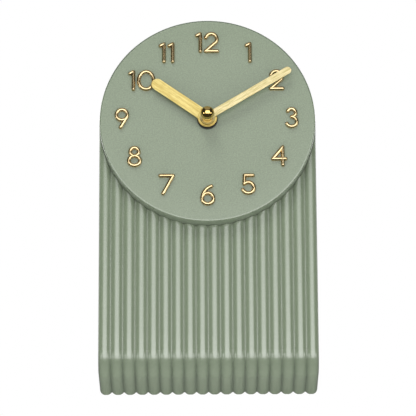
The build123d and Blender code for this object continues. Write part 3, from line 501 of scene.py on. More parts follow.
moulded("back_plastic", SAGE, SAGE_SHADE, 0.52, 2600.0)
moulded("black_plastic", rgb(46, 46, 48), rgb(30, 30, 32), 0.5, 2400.0)
moulded("black_ring", rgb(34, 33, 32), rgb(20, 20, 20), 0.34, 4200.0)
moulded("white_nylon", rgb(232, 229, 218), rgb(216, 212, 198), 0.4, 3800.0)
moulded("rubber", rgb(38, 38, 38), rgb(26, 26, 26), 0.78, 1800.0)
moulded("chip_black", rgb(28, 28, 30), rgb(18, 18, 20), 0.62, 5000.0)
worked("screw_steel", rgb(205, 205, 203), rgb(160, 160, 160), 0.3, ALONG_X)
worked("motor_steel", rgb(176, 178, 180), rgb(140, 142, 146), 0.38, ALONG_Z)
worked("contact_steel", rgb(222, 220, 214), rgb(186, 184, 178), 0.24, ALONG_Z)
worked("arbor_brass", rgb(214, 180, 104), rgb(184, 146, 74), 0.24, ALONG_X)
worked("magnet_grey", rgb(128, 128, 132), rgb(96, 96, 102), 0.5, ALONG_Z)
worked("can_silver", rgb(214, 214, 212), rgb(182, 182, 182), 0.22, ALONG_X)
worked("weight_iron", rgb(104, 104, 106), rgb(70, 70, 74), 0.58, ALONG_X, CAST_LINES)
print("finishes with plastic and metal", len(finishes))

# %% [markdown]
# Three inner pieces have a pattern of their own: the enamelled copper winding shows its turns, the circuit
# board its tracks under green varnish, and the cell a printed jacket in two plain colours with steel
# showing at its ends.

# %% Winding, circuit board and cell
QUARTER_TURN = math.pi / 2
BAND_START = 0.70
JACKET_END = 0.955
JACKET_START = 0.012


def copper_winding():
    tree, place = new_finish("winding_copper", Metallic=1.0)
    sockets = {"Vector": place, "Scale": 1500.0, "Distortion": 1.5, "Detail": 2.0}
    turns = Wire.make(tree, "ShaderNodeTexWave", sockets, out="Fac", wave_type="BANDS", bands_direction="X")
    colour = blended(tree, turns, rgb(120, 58, 30), rgb(206, 122, 74))
    relief = bumped(tree, turns, strength=0.6, distance=0.06 * MM)
    feed(tree, Base_Color=colour, Roughness=0.2 + turns * 0.15, Normal=relief)


def varnished_board():
    tree, place = new_finish("board_green", IOR=1.5)
    flat = turned_place(tree, place, turn=(QUARTER_TURN, 0.0, 0.0))
    sockets = {"Vector": flat, "Scale": 150.0, "Mortar Size": 0.06, "Mortar Smooth": 0.2}
    tracks = Wire.make(tree, "ShaderNodeTexBrick", sockets, out="Fac", offset=0.37, squash=1.0)
    weave = noise(tree, place, scale=3000.0)
    ground = blended(tree, weave, rgb(24, 92, 58), rgb(34, 110, 70))
    colour = blended(tree, tracks, ground, rgb(66, 150, 92))
    relief = bumped(tree, tracks, strength=0.4, distance=0.05 * MM)
    feed(tree, Base_Color=colour, Roughness=0.3 + weave * 0.12, Normal=relief)


def cell_jacket():
    tree, place = new_finish("cell_jacket", IOR=1.5)
    cell_low, cell_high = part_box("battery_cell")
    x, _, _ = split(tree, place)
    share = (x - cell_low.x) / (cell_high.x - cell_low.x)
    band = (share > BAND_START) * (share < JACKET_END)
    steel = ((share > JACKET_END) + (share < JACKET_START)).clamp()
    wear = noise(tree, place, scale=900.0, detail=4.0, rough=0.7)
    body = blended(tree, wear, rgb(36, 40, 44), rgb(48, 52, 56))
    copper = blended(tree, wear, rgb(186, 130, 76), rgb(204, 150, 92))
    colour = blended(tree, steel, blended(tree, band, body, copper), rgb(206, 206, 204))
    relief = bumped(tree, wear, strength=0.08, distance=0.04 * MM)
    feed(tree, Base_Color=colour, Roughness=0.28 + wear * 0.1, Metallic=steel, Normal=relief)


copper_winding()
varnished_board()
cell_jacket()
print("all finishes but the hands'", len(finishes))

# %% [markdown]
# The case's walls are sheets of points. A sheet starts as a flat grid whose points keep values of their
# own, such as how far across they lie. A rule then turns these values into a place, once for the inner
# face of the wall and once for the outer, and the two faces are welded into a closed shell.

# %% Helpers for walls made of sheets
SHEET_WELD = 1e-7


def flat_sheet(tree, x_count, y_count):
    """A flat grid, and the two coordinates of its points, each from -0.5 to 0.5."""
    sockets = {"Size X": 1.0, "Size Y": 1.0, "Vertices X": x_count, "Vertices Y": y_count}
    x, y, _ = split(tree, Wire.make(tree, "GeometryNodeInputPosition"))
    return Wire.make(tree, "GeometryNodeMeshGrid", sockets), x, y


def stored(tree, shape, name, value):
    sockets = {"Geometry": shape, "Name": name, "Value": value}
    return Wire.make(tree, "GeometryNodeStoreNamedAttribute", sockets, data_type="FLOAT", domain="POINT")


def holding(tree, sheet, values):
    """Store values on the points of a sheet, and give the sheet with wires that read them."""
    readers = []
    for name, value in values.items():
        sheet = stored(tree, sheet, name, value)
        readers.append(Wire.make(tree, "GeometryNodeInputNamedAttribute", {"Name": name}, data_type="FLOAT"))
    return sheet, *readers


def shell(tree, sheet, inner_place, outer_place, groove=None):
    """Close a sheet between its inner and outer place; the outer may keep a groove value for painted shade.
    """
    inner = Wire.make(tree, "GeometryNodeSetPosition", {"Geometry": sheet, "Position": inner_place})
    sockets = {"Mesh": inner, "Offset Scale": 0.0, "Individual": False}
    lifted = Wire.make(tree, "GeometryNodeExtrudeMesh", sockets, mode="FACES")
    sockets = {"Geometry": lifted, "Selection": lifted.out("Top"), "Position": outer_place}
    outer = Wire.make(tree, "GeometryNodeSetPosition", sockets)
    if groove:
        outer = stored(tree, outer, "groove", groove)
    back = Wire.make(tree, "GeometryNodeFlipFaces", {0: inner})
    whole = Wire.make(tree, "GeometryNodeJoinGeometry", {0: [outer, back]})
    return Wire.make(tree, "GeometryNodeMergeByDistance", {"Geometry": whole, "Distance": SHEET_WELD})


print("sheet helpers ready")

# %% [markdown]
# The reeded wall is one rule: eighteen half-round ribs run down the front, roll round the foot and go
# back along the underside. It could be eighteen bent rods, but a real case is moulded in one piece, so a
# single sheet of points follows the path, and each point sinks by the rib's profile. The top edge stops at
# the dial's circle. Grooves count as deeper on the foot, so that they get more painted shade there.

# %% Reeded wall: the rule
DIAL_CLEARANCE = 0.2 * MM
WALL_VALUES = {
    "Half Width": HALF_WIDTH,
    "Rib Count": 18,
    "Rib Rise": 1.78 * MM,
    "Groove Fillet": 0.5 * MM,
    "Foot Radius": FOOT_RADIUS,
    "Foot Flat": FOOT_FLAT,
    "Wall": FRONT_WALL,
    "Crest Y": CREST_Y,
    "Rear Y": REAR_Y,
    "Dial Z": DIAL_Z,
    "Dial Cut": DIAL_RADIUS + DIAL_CLEARANCE,
    "Points Per Rib": 40,
    "Finish": finishes["case_lacquer"],
}
FRONT_ROWS = 8.0
FOOT_ROWS = 18.0
UNDER_ROWS = 6.0
WALL_ROWS = FRONT_ROWS + FOOT_ROWS + UNDER_ROWS
# How much more painted shade the foot's grooves get.
FOOT_GROOVE_SHADE = 0.85


def rib_sink(put, x):
    """How far the ribbed surface lies below the crests, and where it lies across, for a place across."""
    half_pitch = put["Half Width"] / put["Rib Count"]
    radius = (half_pitch * half_pitch + put["Rib Rise"] * put["Rib Rise"]) / (put["Rib Rise"] * 2.0)
    reach = radius + put["Groove Fillet"]
    fillet_centre = radius - (reach * reach - half_pitch * half_pitch).fn("SQRT")
    fillet_half = half_pitch * put["Groove Fillet"] / reach
    from_edge = x + put["Half Width"]
    offset = abs(from_edge.fn("MODULO", half_pitch * 2.0) - half_pitch)
    arc = radius - (radius * radius - offset * offset).fn("SQRT")
    to_groove = half_pitch - offset
    rounded = (put["Groove Fillet"] * put["Groove Fillet"] - to_groove * to_groove).fn("SQRT")
    in_groove = to_groove < fillet_half
    ribbed = arc + in_groove * (fillet_centre + rounded - arc)
    last_crest = put["Half Width"] - half_pitch
    outer = ((abs(x) - last_crest) / half_pitch).clamp()
    angle = outer * QUARTER_TURN
    on_end = outer > 0.0
    sink = ribbed + on_end * (half_pitch * (1.0 - angle.fn("COSINE")) - ribbed)
    end_x = x.fn("SIGN") * (last_crest + half_pitch * angle.fn("SINE"))
    return sink, x + on_end * (end_x - x)


def on_path(tree, put, x, row, sink):
    """Place of a point that lies some way below the crests, for a row along front, foot and underside."""
    front = (row / FRONT_ROWS).clamp()
    angle = ((row - FRONT_ROWS) / FOOT_ROWS).clamp() * QUARTER_TURN
    under = ((row - (FRONT_ROWS + FOOT_ROWS)) / UNDER_ROWS).clamp()
    radius = put["Foot Radius"] - sink
    foot_y = put["Crest Y"] + put["Foot Radius"]
    foot_z = put["Foot Radius"] - put["Foot Flat"]
    cut = (put["Dial Cut"] * put["Dial Cut"] - x * x).fn("MAXIMUM", 0.0).fn("SQRT")
    top = put["Dial Z"] - cut
    y = foot_y - radius * angle.fn("COSINE") + under * (put["Rear Y"] - foot_y)
    z = foot_z - radius * angle.fn("SINE") + (1.0 - front) * (top - foot_z)
    return xyz(tree, x, y, z.fn("MAXIMUM", 0.0))


print("rib pitch", 2 * HALF_WIDTH / WALL_VALUES["Rib Count"])

# %% [markdown]
# The tree puts the rule to work. Every point of the sheet keeps its place across and its row. The wall's
# thickness gives the inner face, and the ribs' profile gives the outer one.

# %% Reeded wall: the tree
def reeded_wall_tree():
    tree, put = open_tree("reeded_wall", WALL_VALUES)
    columns = put["Rib Count"] * put["Points Per Rib"] + 1.0
    sheet, grid_x, grid_y = flat_sheet(tree, columns, int(WALL_ROWS) + 1)
    values = {"across": grid_x * (put["Half Width"] * 2.0), "row": (0.5 - grid_y) * WALL_ROWS}
    sheet, across, row = holding(tree, sheet, values)
    sink, x = rib_sink(put, across)
    # Painted shade: this groove value darkens the lacquer in the grooves, and the foot's grooves count
    # deeper.
    foot = ((row - FRONT_ROWS) / FOOT_ROWS * 2.0).clamp()
    groove = (sink / put["Rib Rise"]).clamp() * (1.0 + foot * FOOT_GROOVE_SHADE)
    inner = on_path(tree, put, x, row, put["Wall"])
    outer = on_path(tree, put, x, row, sink)
    return close_tree(tree, shell(tree, sheet, inner, outer, groove), put["Finish"])


reeded_wall = grow(reeded_wall_tree(), WALL_VALUES)
print("reeded wall", len(reeded_wall.polygons), "faces")

# %% [markdown]
# Behind the reeded wall, a plain band makes the two sides and the arched top. It is another sheet of
# points, along the arch and across the depth, with its rear edge rounded over. Low down, its front edge
# follows the inside of the rolled foot.

# %% Side and arch band
BAND_VALUES = {
    "Radius": HALF_WIDTH,
    "Side Wall": 2.6 * MM,
    "Front Wall": FRONT_WALL,
    "Floor": FRONT_WALL - FOOT_FLAT,
    "Foot Radius": FOOT_RADIUS,
    "Rear Round": 0.7 * MM,
    "Crest Y": CREST_Y,
    "Rear Y": REAR_Y,
    "Dial Z": DIAL_Z,
    "Finish": finishes["case_lacquer"],
}
ARCH_ROWS = 48
SIDE_ROWS = 26
ARCH_SHARE = ARCH_ROWS / (ARCH_ROWS + SIDE_ROWS)
FLAT_COLUMNS = 3.0
ROUND_COLUMNS = 5.0


def on_band(tree, put, along, column, inset, rounding):
    """Place of a point of the band. Along runs from -1 to 1, over the arch from foot to foot."""
    distance = abs(along)
    rise = (1.0 - (distance / ARCH_SHARE).clamp()) * QUARTER_TURN
    drop = ((distance - ARCH_SHARE) / (1.0 - ARCH_SHARE)).clamp()
    lowered = (1.0 - (1.0 - drop) * (1.0 - drop)) * (put["Dial Z"] - put["Floor"])
    turn = ((column - FLAT_COLUMNS) / ROUND_COLUMNS).clamp() * QUARTER_TURN
    radius = put["Radius"] - inset - rounding * (1.0 - turn.fn("COSINE"))
    x = along.fn("SIGN") * radius * rise.fn("COSINE")
    z = put["Dial Z"] + radius * rise.fn("SINE") - lowered
    foot_inner = put["Foot Radius"] - put["Front Wall"]
    foot_z = put["Floor"] + foot_inner
    below = (foot_z - z).fn("MAXIMUM", 0.0)
    curve = foot_inner - (foot_inner * foot_inner - below * below).fn("MAXIMUM", 0.0).fn("SQRT")
    front_y = put["Crest Y"] + put["Front Wall"] + curve
    flat_end = put["Rear Y"] - rounding
    y = front_y + (column / FLAT_COLUMNS).clamp() * (flat_end - front_y) + rounding * turn.fn("SINE")
    return xyz(tree, x, y, z)


def band_tree():
    tree, put = open_tree("side_band", BAND_VALUES)
    columns = FLAT_COLUMNS + ROUND_COLUMNS
    sheet, grid_x, grid_y = flat_sheet(tree, 2 * (ARCH_ROWS + SIDE_ROWS) + 1, int(columns) + 1)
    values = {"along": grid_x * 2.0, "column": (0.5 + grid_y) * columns}
    sheet, along, column = holding(tree, sheet, values)
    inner = on_band(tree, put, along, column, inset=put["Side Wall"], rounding=0.0)
    outer = on_band(tree, put, along, column, inset=0.0, rounding=put["Rear Round"])
    return close_tree(tree, shell(tree, sheet, inner, outer), put["Finish"])


side_band = grow(band_tree(), BAND_VALUES)
print("side band", len(side_band.polygons), "faces")

# %% [markdown]
# The dial sits on a flat seat, a disc that closes the front of the case behind it, and six round bosses
# inside take the screws of the back panel and of the foot weight. The disc and the bosses are turned
# pieces, and they join the wall and the band as one case. The screws' places come from their solids,
# but for the upper screws' distance across, which is given.

# %% Seat, bosses and the whole case
SEAT_THICKNESS = 2.4 * MM
SEAT_SEGMENTS = 160
BUSH_HOLE = 4.2 * MM
BOSS_RADIUS = 3.5 * MM
BOSS_SEGMENTS = 24
PILOT_RADIUS = 1.0 * MM
SCREW_GRIP = 6.0 * MM
SCREW_HEAD = 2.5 * MM
UPPER_SCREW_X = 39.99 * MM
CASE_WALL_Y = CREST_Y + FRONT_WALL


def boss_places():
    """Centres of the screws driven into the case, from the boxes of their nodes but for one given x."""
    rear_low, rear_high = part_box("rear_screws")
    weight_low, weight_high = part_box("weight_screws")
    weight_z = (weight_low.z + weight_high.z) / 2
    places = [(rear_high.x - SCREW_HEAD, rear_low.z + SCREW_HEAD, rear_low.y),
              (UPPER_SCREW_X, rear_high.z - SCREW_HEAD, rear_low.y),
              (weight_high.x - SCREW_HEAD, weight_z, weight_low.y)]
    return [(side * x, z, y) for x, z, y in places for side in (-1, 1)]


def tube_profile(inner, outer, start, end):
    return [(inner, start), (outer, start), (outer, end), (inner, end)]


def whole_case():
    bm = joined(reeded_wall, side_band)
    seat = FACE_Y - DIAL_SEAT_Y
    turned(bm, tube_profile(BUSH_HOLE, HALF_WIDTH, seat, seat - SEAT_THICKNESS), SEAT_SEGMENTS)
    for x, z, tip_y in boss_places():
        depth = tip_y + SCREW_GRIP - CASE_WALL_Y
        turned(bm, tube_profile(PILOT_RADIUS, BOSS_RADIUS, 0.0, -depth), BOSS_SEGMENTS, x, z, CASE_WALL_Y)
    return settle(bm, "reeded_case")


finished("reeded_case", whole_case(), finishes["case_lacquer"], "root", "case_green", "case_shell")

# %% [markdown]
# The dial is a shallow cap whose edge is rolled over, and its lower edge catches a bright line in the
# light from below. It could be a disc with a bevel, but a turned profile also gives the hollow behind and
# the hub round the bush hole. Two more rings across the flat face keep its triangles from growing long.

# %% Dial cap
DIAL_SKIN = 2.4 * MM
DIAL_INNER = DIAL_RADIUS - DIAL_SKIN
DIAL_SEGMENTS = 192
EDGE_STEPS = 8
HUB_RADIUS = 8.0 * MM
FACE_RINGS = [(HUB_RADIUS * 2, 0.0), (DIAL_INNER * 0.75, 0.0)]


def dial_profile():
    rear = FACE_Y - DIAL_SEAT_Y
    edge_centre = (DIAL_RADIUS - DIAL_EDGE, -DIAL_EDGE)
    profile = [(BUSH_HOLE, rear), (BUSH_HOLE, 0.0)] + FACE_RINGS
    profile += arc_points(edge_centre, DIAL_EDGE, DIAL_EDGE, 90.0, -90.0, EDGE_STEPS)
    profile += [(DIAL_RADIUS, rear), (DIAL_INNER, rear), (DIAL_INNER, -DIAL_SKIN)]
    return profile + [(HUB_RADIUS, -DIAL_SKIN), (HUB_RADIUS, rear)]


dial_cap = lathe("dial_cap", dial_profile(), DIAL_SEGMENTS)
finished("dial_cap", dial_cap, finishes["dial_lacquer"], "root", "dial_green", "dial_plate")

# %% [markdown]
# The numerals are cast and polished, with half-round strokes. Each digit is drawn as a few stroke lines
# on a grid that is ten units high, and a shape tree lays a half-round bar along every line and a dome on
# every end. Text from a font could give the same marks, but not with this even, rounded stroke.

# %% Digits as stroke lines
DIGIT_STROKES = {
    0: [("ring", (0, 0), 4.0, 5.0)],
    1: [("line", (0.95, -5), (0.95, 5)), ("line", (0.95, 5), (-0.95, 4.0))],
    2: [("arc", (-0.1, 1.95), 3.05, 165, -203), ("line", (2.3, 0.07), (-3.2, -5)),
        ("line", (-3.2, -5), (3.2, -5))],
    3: [("arc", (-0.2, 2.75), 2.25, 155, -245), ("arc", (-0.2, -2.25), 2.75, 90, -245)],
    4: [("line", (1.9, -5), (1.9, 5)), ("line", (1.9, 5), (-3.4, -1.6)),
        ("line", (-3.4, -1.6), (3.4, -1.6))],
    5: [("arc", (0.2, -1.95), 3.05, 135, -295), ("line", (-1.96, 0.2), (-1.75, 5)),
        ("line", (-1.75, 5), (2.7, 5))],
    6: [("ring", (0, -2.0), 3.0, 3.0), ("arc", (4.2, -2.0), 7.2, 180, -72)],
    7: [("line", (-3.4, 5), (3.4, 5)), ("line", (3.4, 5), (-1.9, -5))],
    8: [("ring", (0, 2.7), 2.3, 2.3), ("ring", (0, -2.3), 3.0, 2.7)],
    9: [("ring", (0, 2.05), 2.95, 2.95), ("line", (2.55, 0.57), (-0.7, -5))],
}
NUMERAL_HEIGHT = 11.7 * MM
NUMERAL_STROKE = 1.95 * MM
GRID_UNITS = 10
NUMERAL_GRID = (NUMERAL_HEIGHT - NUMERAL_STROKE) / GRID_UNITS
DIGIT_GAP = 0.75 * MM
CURVE_STEPS = 40


def stroke_points(kind, *sizes):
    """Points along one stroke in grid units, and whether the stroke closes on itself."""
    if kind == "line":
        return list(sizes), False
    if kind == "ring":
        return arc_points(*sizes, 0.0, 360.0, CURVE_STEPS)[:-1], True
    centre, radius, start, turn = sizes
    return arc_points(centre, radius, radius, start, turn, CURVE_STEPS), False


def digit_lines(number, left):
    """Stroke lines of a digit whose left edge is at a given place, and the place of its right edge."""
    lines = [stroke_points(*stroke) for stroke in DIGIT_STROKES[number]]
    across = [point[0] for points, _ in lines for point in points]
    low = min(across) * NUMERAL_GRID - NUMERAL_STROKE / 2
    high = max(across) * NUMERAL_GRID + NUMERAL_STROKE / 2
    moved = []
    for points, closed in lines:
        moved.append(([(x * NUMERAL_GRID + left - low, z * NUMERAL_GRID) for x, z in points], closed))
    return moved, left + high - low


def numeral_lines(hour):
    """A mesh of edges for one numeral, flat on the ground and centred on its own middle."""
    left = 0.0
    lines = []
    for mark in str(hour):
        moved, right = digit_lines(int(mark), left)
        lines += moved
        left = right + DIGIT_GAP
    bm = bmesh.new()
    for points, closed in lines:
        verts = [bm.verts.new((x - right / 2, z, 0.0)) for x, z in points]
        ends = verts[1:] + verts[:1] if closed else verts[1:]
        for pair in zip(verts, ends):
            bm.edges.new(pair)
    return as_mesh(bm, f"numeral_lines_{hour}")


print("digits", len(DIGIT_STROKES))

# %% [markdown]
# Here the strokes become metal. A flat bar with two rounded corners follows every line, and a ball on a
# short post closes every open end. How far the numerals rise is read from the box of one of them.

# %% Half-round strokes along the lines
numeral_low, numeral_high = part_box("numeral_6")
NUMERAL_VALUES = {
    "Stroke": NUMERAL_STROKE,
    "Rise": numeral_high.y - numeral_low.y,
    "Finish": finishes["numeral_gold"],
}
FULL_ROUND = 0.98
ROUND_POINTS = 6
DOME_SIDES = 20
DOME_RINGS = 12
NUMERAL_SHARP = 50.0


def lifted_by(tree, shape, shift):
    return Wire.make(tree, "GeometryNodeTransform", {"Geometry": shape, "Translation": shift})


def numeral_tree():
    tree, put = open_tree("half_round_numeral", NUMERAL_VALUES)
    radius = put["Stroke"] / 2.0
    lines = Wire.make(tree, "GeometryNodeMeshToCurve", {"Mesh": put["Geometry"]})
    upright = Wire.make(tree, "GeometryNodeSetCurveNormal", {"Curve": lines}, mode="Z_UP")
    block = Wire.make(tree, "GeometryNodeCurvePrimitiveQuadrilateral",
                      {"Width": put["Stroke"], "Height": put["Rise"]})
    _, height, _ = split(tree, Wire.make(tree, "GeometryNodeInputPosition"))
    rounding = (height < 0.0) * (radius * FULL_ROUND)
    sockets = {"Curve": block, "Radius": rounding, "Count": ROUND_POINTS}
    domed = Wire.make(tree, "GeometryNodeFilletCurve", sockets, mode="POLY")
    profile = lifted_by(tree, domed, xyz(tree, y=put["Rise"] / -2.0))
    bars = Wire.make(tree, "GeometryNodeCurveToMesh",
                     {"Curve": upright, "Profile Curve": profile, "Fill Caps": True})
    shank = put["Rise"] - radius
    ball = Wire.make(tree, "GeometryNodeMeshUVSphere",
                     {"Segments": DOME_SIDES, "Rings": DOME_RINGS, "Radius": radius})
    post = Wire.make(tree, "GeometryNodeMeshCylinder",
                     {"Vertices": DOME_SIDES, "Radius": radius, "Depth": shank})
    raised = [lifted_by(tree, ball, xyz(tree, z=shank)), lifted_by(tree, post, xyz(tree, z=shank / 2.0))]
    dome = Wire.make(tree, "GeometryNodeJoinGeometry", {0: raised})
    ends = Wire.make(tree, "GeometryNodeCurveEndpointSelection")
    domes = Wire.make(tree, "GeometryNodeInstanceOnPoints",
                      {"Points": lines, "Selection": ends, "Instance": dome})
    whole = Wire.make(tree, "GeometryNodeJoinGeometry", {0: [bars, domes]})
    return close_tree(tree, whole, put["Finish"])


def stand_on_dial(mesh, x, z):
    """Turn a flat numeral upright and set its foot on the dial face."""
    mesh.transform(Matrix.Translation((x, FACE_Y, z)) @ Matrix.Rotation(QUARTER_TURN, 4, "X"))
    return settle(joined(mesh), mesh.name)


numerals = numeral_tree()
for hour in range(1, 13):
    node = f"numeral_{hour}"
    low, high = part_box(node)
    marks = grow(numerals, NUMERAL_VALUES, numeral_lines(hour))
    marks = stand_on_dial(marks, (low.x + high.x) / 2, (low.z + high.z) / 2)
    finished(f"gold_{node}", marks, finishes["numeral_gold"], "root", "numeral_gold", node,
             sharp=NUMERAL_SHARP)

# %% [markdown]
# The hands are stamped from thin brushed sheet, with a round tip and a round hub. A flat curve with a
# hole gives the outline, its extrusion the sheet and its small bevel the stamped edge. It is drawn
# pointing at twelve, made a mesh, and only then turned to the time that the clock shows.

# %% Stamped hands
HAND_EDGE = 0.08 * MM
HAND_SHARP = 12.0
ROUND_STEPS = 40


def add_outline(curve, points):
    spline = curve.splines.new("POLY")
    spline.points.add(len(points) - 1)
    for target, (x, z) in zip(spline.points, points):
        target.co = (x, z, 0.0, 1.0)
    spline.use_cyclic_u = True


def stamped_hand(title, length, width, hub, hole, degrees, front_y, thickness):
    curve = bpy.data.curves.new(title, "CURVE")
    curve.dimensions = "2D"
    curve.fill_mode = "BOTH"
    curve.extrude = thickness / 2 - HAND_EDGE
    curve.bevel_depth = HAND_EDGE
    curve.bevel_resolution = 1
    curve.offset = -HAND_EDGE
    half = width / 2
    spread = math.degrees(math.asin(half / hub))
    tip = arc_points((0.0, length - half), half, half, 0.0, 180.0, ROUND_STEPS)
    round_hub = arc_points((0.0, 0.0), hub, hub, 90.0 + spread, 360.0 - 2 * spread, ROUND_STEPS)
    add_outline(curve, tip + round_hub)
    add_outline(curve, arc_points((0.0, 0.0), hole, hole, 0.0, 360.0, ROUND_STEPS)[:-1])
    mesh = plain_mesh(linked(title, curve))
    upright = Matrix.Rotation(QUARTER_TURN, 4, "X")
    clockwise = Matrix.Rotation(math.radians(degrees), 4, "Y")
    mesh.transform(Matrix.Translation((0.0, front_y + thickness / 2, DIAL_Z)) @ clockwise @ upright)
    return settle(joined(mesh), title)


print("hand edge", HAND_EDGE)

# %% [markdown]
# The hour hand is short and broad, the minute hand long, narrow and paler. Their angles count clockwise
# from twelve. The front and the thickness of each hand come from its solid.

# %% Hour and minute hand
HANDS = {
    "hour_hand": {"length": 34.9 * MM, "width": 6.2 * MM, "hub": 5.0 * MM, "hole": 2.7 * MM,
                  "degrees": 305.765},
    "minute_hand": {"length": 50.8 * MM, "width": 3.9 * MM, "hub": 3.9 * MM, "hole": 1.4 * MM,
                    "degrees": 58.38},
}
HAND_COLOURS = {
    "hour_hand": (rgb(234, 217, 144), rgb(207, 183, 106)),
    "minute_hand": (rgb(242, 228, 179), rgb(202, 188, 131)),
}
for node, facts in HANDS.items():
    low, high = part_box(node)
    hand = stamped_hand(node, **facts, front_y=low.y, thickness=high.y - low.y)
    brushing = f"{node}_brushed"
    brushed_gold(brushing, facts["degrees"], *HAND_COLOURS[node], facts["hub"])
    finished(f"gold_{node}", hand, finishes[brushing], node, "hand_gold", node, sharp=HAND_SHARP)

# %% [markdown]
# A polished ball nut holds the hands on the arbor, and a black ring nut behind them holds the movement to
# the dial. Both are turned. The ball has a short neck with a bead, and the ring has broken edges.

# %% Ball nut and black ring nut
NUT_SEGMENTS = 64
BALL_RADIUS = 3.6 * MM
BALL_STEPS = 28
BORE_END = BALL_RADIUS * 0.45
NECK_RADIUS = 2.7 * MM
NECK_WAIST = NECK_RADIUS * 0.93
NECK_EDGE = 0.25 * MM
ARBOR_RADIUS = 1.4 * MM
RING_BORE = 4.03 * MM
RING_EDGE = 0.3 * MM


def ball_profile():
    low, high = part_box("hand_nut")
    foot = FACE_Y - high.y
    centre = FACE_Y - low.y - BALL_RADIUS
    hole_end = centre - BORE_END
    meet = math.degrees(math.acos(NECK_WAIST / BALL_RADIUS))
    profile = [(0.0, hole_end), (ARBOR_RADIUS, hole_end), (ARBOR_RADIUS, foot)]
    profile += [(NECK_RADIUS - NECK_EDGE, foot), (NECK_RADIUS, foot + NECK_EDGE)]
    profile += [(NECK_RADIUS, foot + 3 * NECK_EDGE), (NECK_WAIST, foot + 4 * NECK_EDGE)]
    return profile + arc_points((0.0, centre), BALL_RADIUS, BALL_RADIUS, -meet, 90.0 + meet, BALL_STEPS)


def ring_profile():
    low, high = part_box("bush_nut")
    outer = high.x
    rise = FACE_Y - low.y
    return [(RING_BORE, 0.0), (outer, 0.0), (outer, rise - RING_EDGE), (outer - RING_EDGE, rise),
            (RING_BORE + RING_EDGE, rise), (RING_BORE, rise - RING_EDGE)]


ball_nut = lathe("ball_nut", ball_profile(), NUT_SEGMENTS)
ring_nut = lathe("ring_nut", ring_profile(), NUT_SEGMENTS)
finished("ball_nut", ball_nut, finishes["ball_gold"], "minute_hand", "nut_gold", "hand_nut")
finished("ring_nut", ring_nut, finishes["black_ring"], "root", "black_nut", "bush_nut")

# %% [markdown]
# The back panel, its hatch, the movement and the cell have the right shapes already. A copy of each
# solid's mesh is welded, its long edges are broken with a small bevel as a mould or a file would leave
# them, and it is shaded smooth. Bare facets would give these pieces away in any close view.

# %% Welded copies with broken edges
SOLID_WELD = 2e-6
FLAT_LIMIT = math.radians(0.5)
CORNER = math.radians(32.0)
PANEL_SHARP = 8.0
PART_SHARP = 24.0
PANEL_EDGE = 0.25 * MM
DRESSED = {
    "rear_cover": ("back_panel", "back_plastic", "root", "back_green", PANEL_EDGE, PANEL_SHARP),
    "rear_screws": ("back_screws", "screw_steel", "root", "screw_steel", 0.12 * MM, PART_SHARP),
    "movement_back": ("movement_lid", "black_plastic", "root", "movement_black", 0.2 * MM, PART_SHARP),
    "movement_front": ("movement_tray", "black_plastic", "root", "movement_black", 0.0, PART_SHARP),
    "lid_screws": ("movement_screws", "screw_steel", "root", "screw_steel", 0.1 * MM, PART_SHARP),
    "setting_knob": ("hand_setting_knob", "black_plastic", "setting_knob", "movement_black", 0.0, PART_SHARP),
    "battery_cell": ("aa_cell", "cell_jacket", "root", "cell_jacket", 0.3 * MM, PART_SHARP),
}


def broken_copy(node, edge):
    """A welded copy of a solid's mesh. Its corners are broken if an edge width is given."""
    bm = joined(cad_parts[node].data)
    bmesh.ops.remove_doubles(bm, verts=bm.verts, dist=SOLID_WELD)
    bmesh.ops.dissolve_limit(bm, angle_limit=FLAT_LIMIT, verts=bm.verts, edges=bm.edges)
    if edge:
        corners = []
        for line in bm.edges:
            if len(line.link_faces) == 2 and line.calc_face_angle() > CORNER:
                corners.append(line)
        bmesh.ops.bevel(bm, geom=corners, offset=edge, segments=2, profile=0.5, affect="EDGES",
                        clamp_overlap=True)
    return as_mesh(bm, node)


for node, (title, finish, body, slot, edge, sharp) in DRESSED.items():
    finished(title, broken_copy(node, edge), finishes[finish], body, slot, node, sharp=sharp)

# %% [markdown]
# The hatch lifts off with a fingertip in its notch, and moulded ridges above the notch keep the finger
# from slipping. The ridges repeat, so a shape tree sets half-sunk round bars on a line of points.

# %% Hatch with finger ridges
hatch_low, hatch_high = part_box("battery_hatch")
RIDGE_SUNK = 0.1 * MM
RIDGE_START = 6.0 * MM
RIDGE_SIDES = 20
RIDGE_VALUES = {
    "Count": 5,
    "Pitch": 1.8 * MM,
    "Length": 16.0 * MM,
    "Radius": 0.5 * MM,
    "Face Y": hatch_high.y - RIDGE_SUNK,
    "First Z": hatch_low.z + RIDGE_START,
    "Finish": finishes["back_plastic"],
}


def ridge_tree():
    tree, put = open_tree("finger_ridges", RIDGE_VALUES)
    start = xyz(tree, y=put["Face Y"], z=put["First Z"])
    line = Wire.make(tree, "GeometryNodeMeshLine",
                     {"Count": put["Count"], "Start Location": start, "Offset": xyz(tree, z=put["Pitch"])})
    bar = Wire.make(tree, "GeometryNodeMeshCylinder",
                    {"Vertices": RIDGE_SIDES, "Radius": put["Radius"], "Depth": put["Length"]})
    ridges = Wire.make(tree, "GeometryNodeInstanceOnPoints",
                       {"Points": line, "Instance": bar, "Rotation": (0.0, QUARTER_TURN, 0.0)})
    return close_tree(tree, ridges, put["Finish"])


hatch_plate = broken_copy("battery_hatch", PANEL_EDGE)
hatch = as_mesh(joined(hatch_plate, grow(ridge_tree(), RIDGE_VALUES)), "hatch_door")
finished("hatch_door", hatch, finishes["back_plastic"], "battery_hatch", "back_green", "battery_hatch",
         sharp=PANEL_SHARP)

# %% [markdown]
# Pieces sealed inside the case keep their solids as they are and only change finish: nylon wheels, brass
# arbor, steel motor parts, the circuit and the iron foot weight.

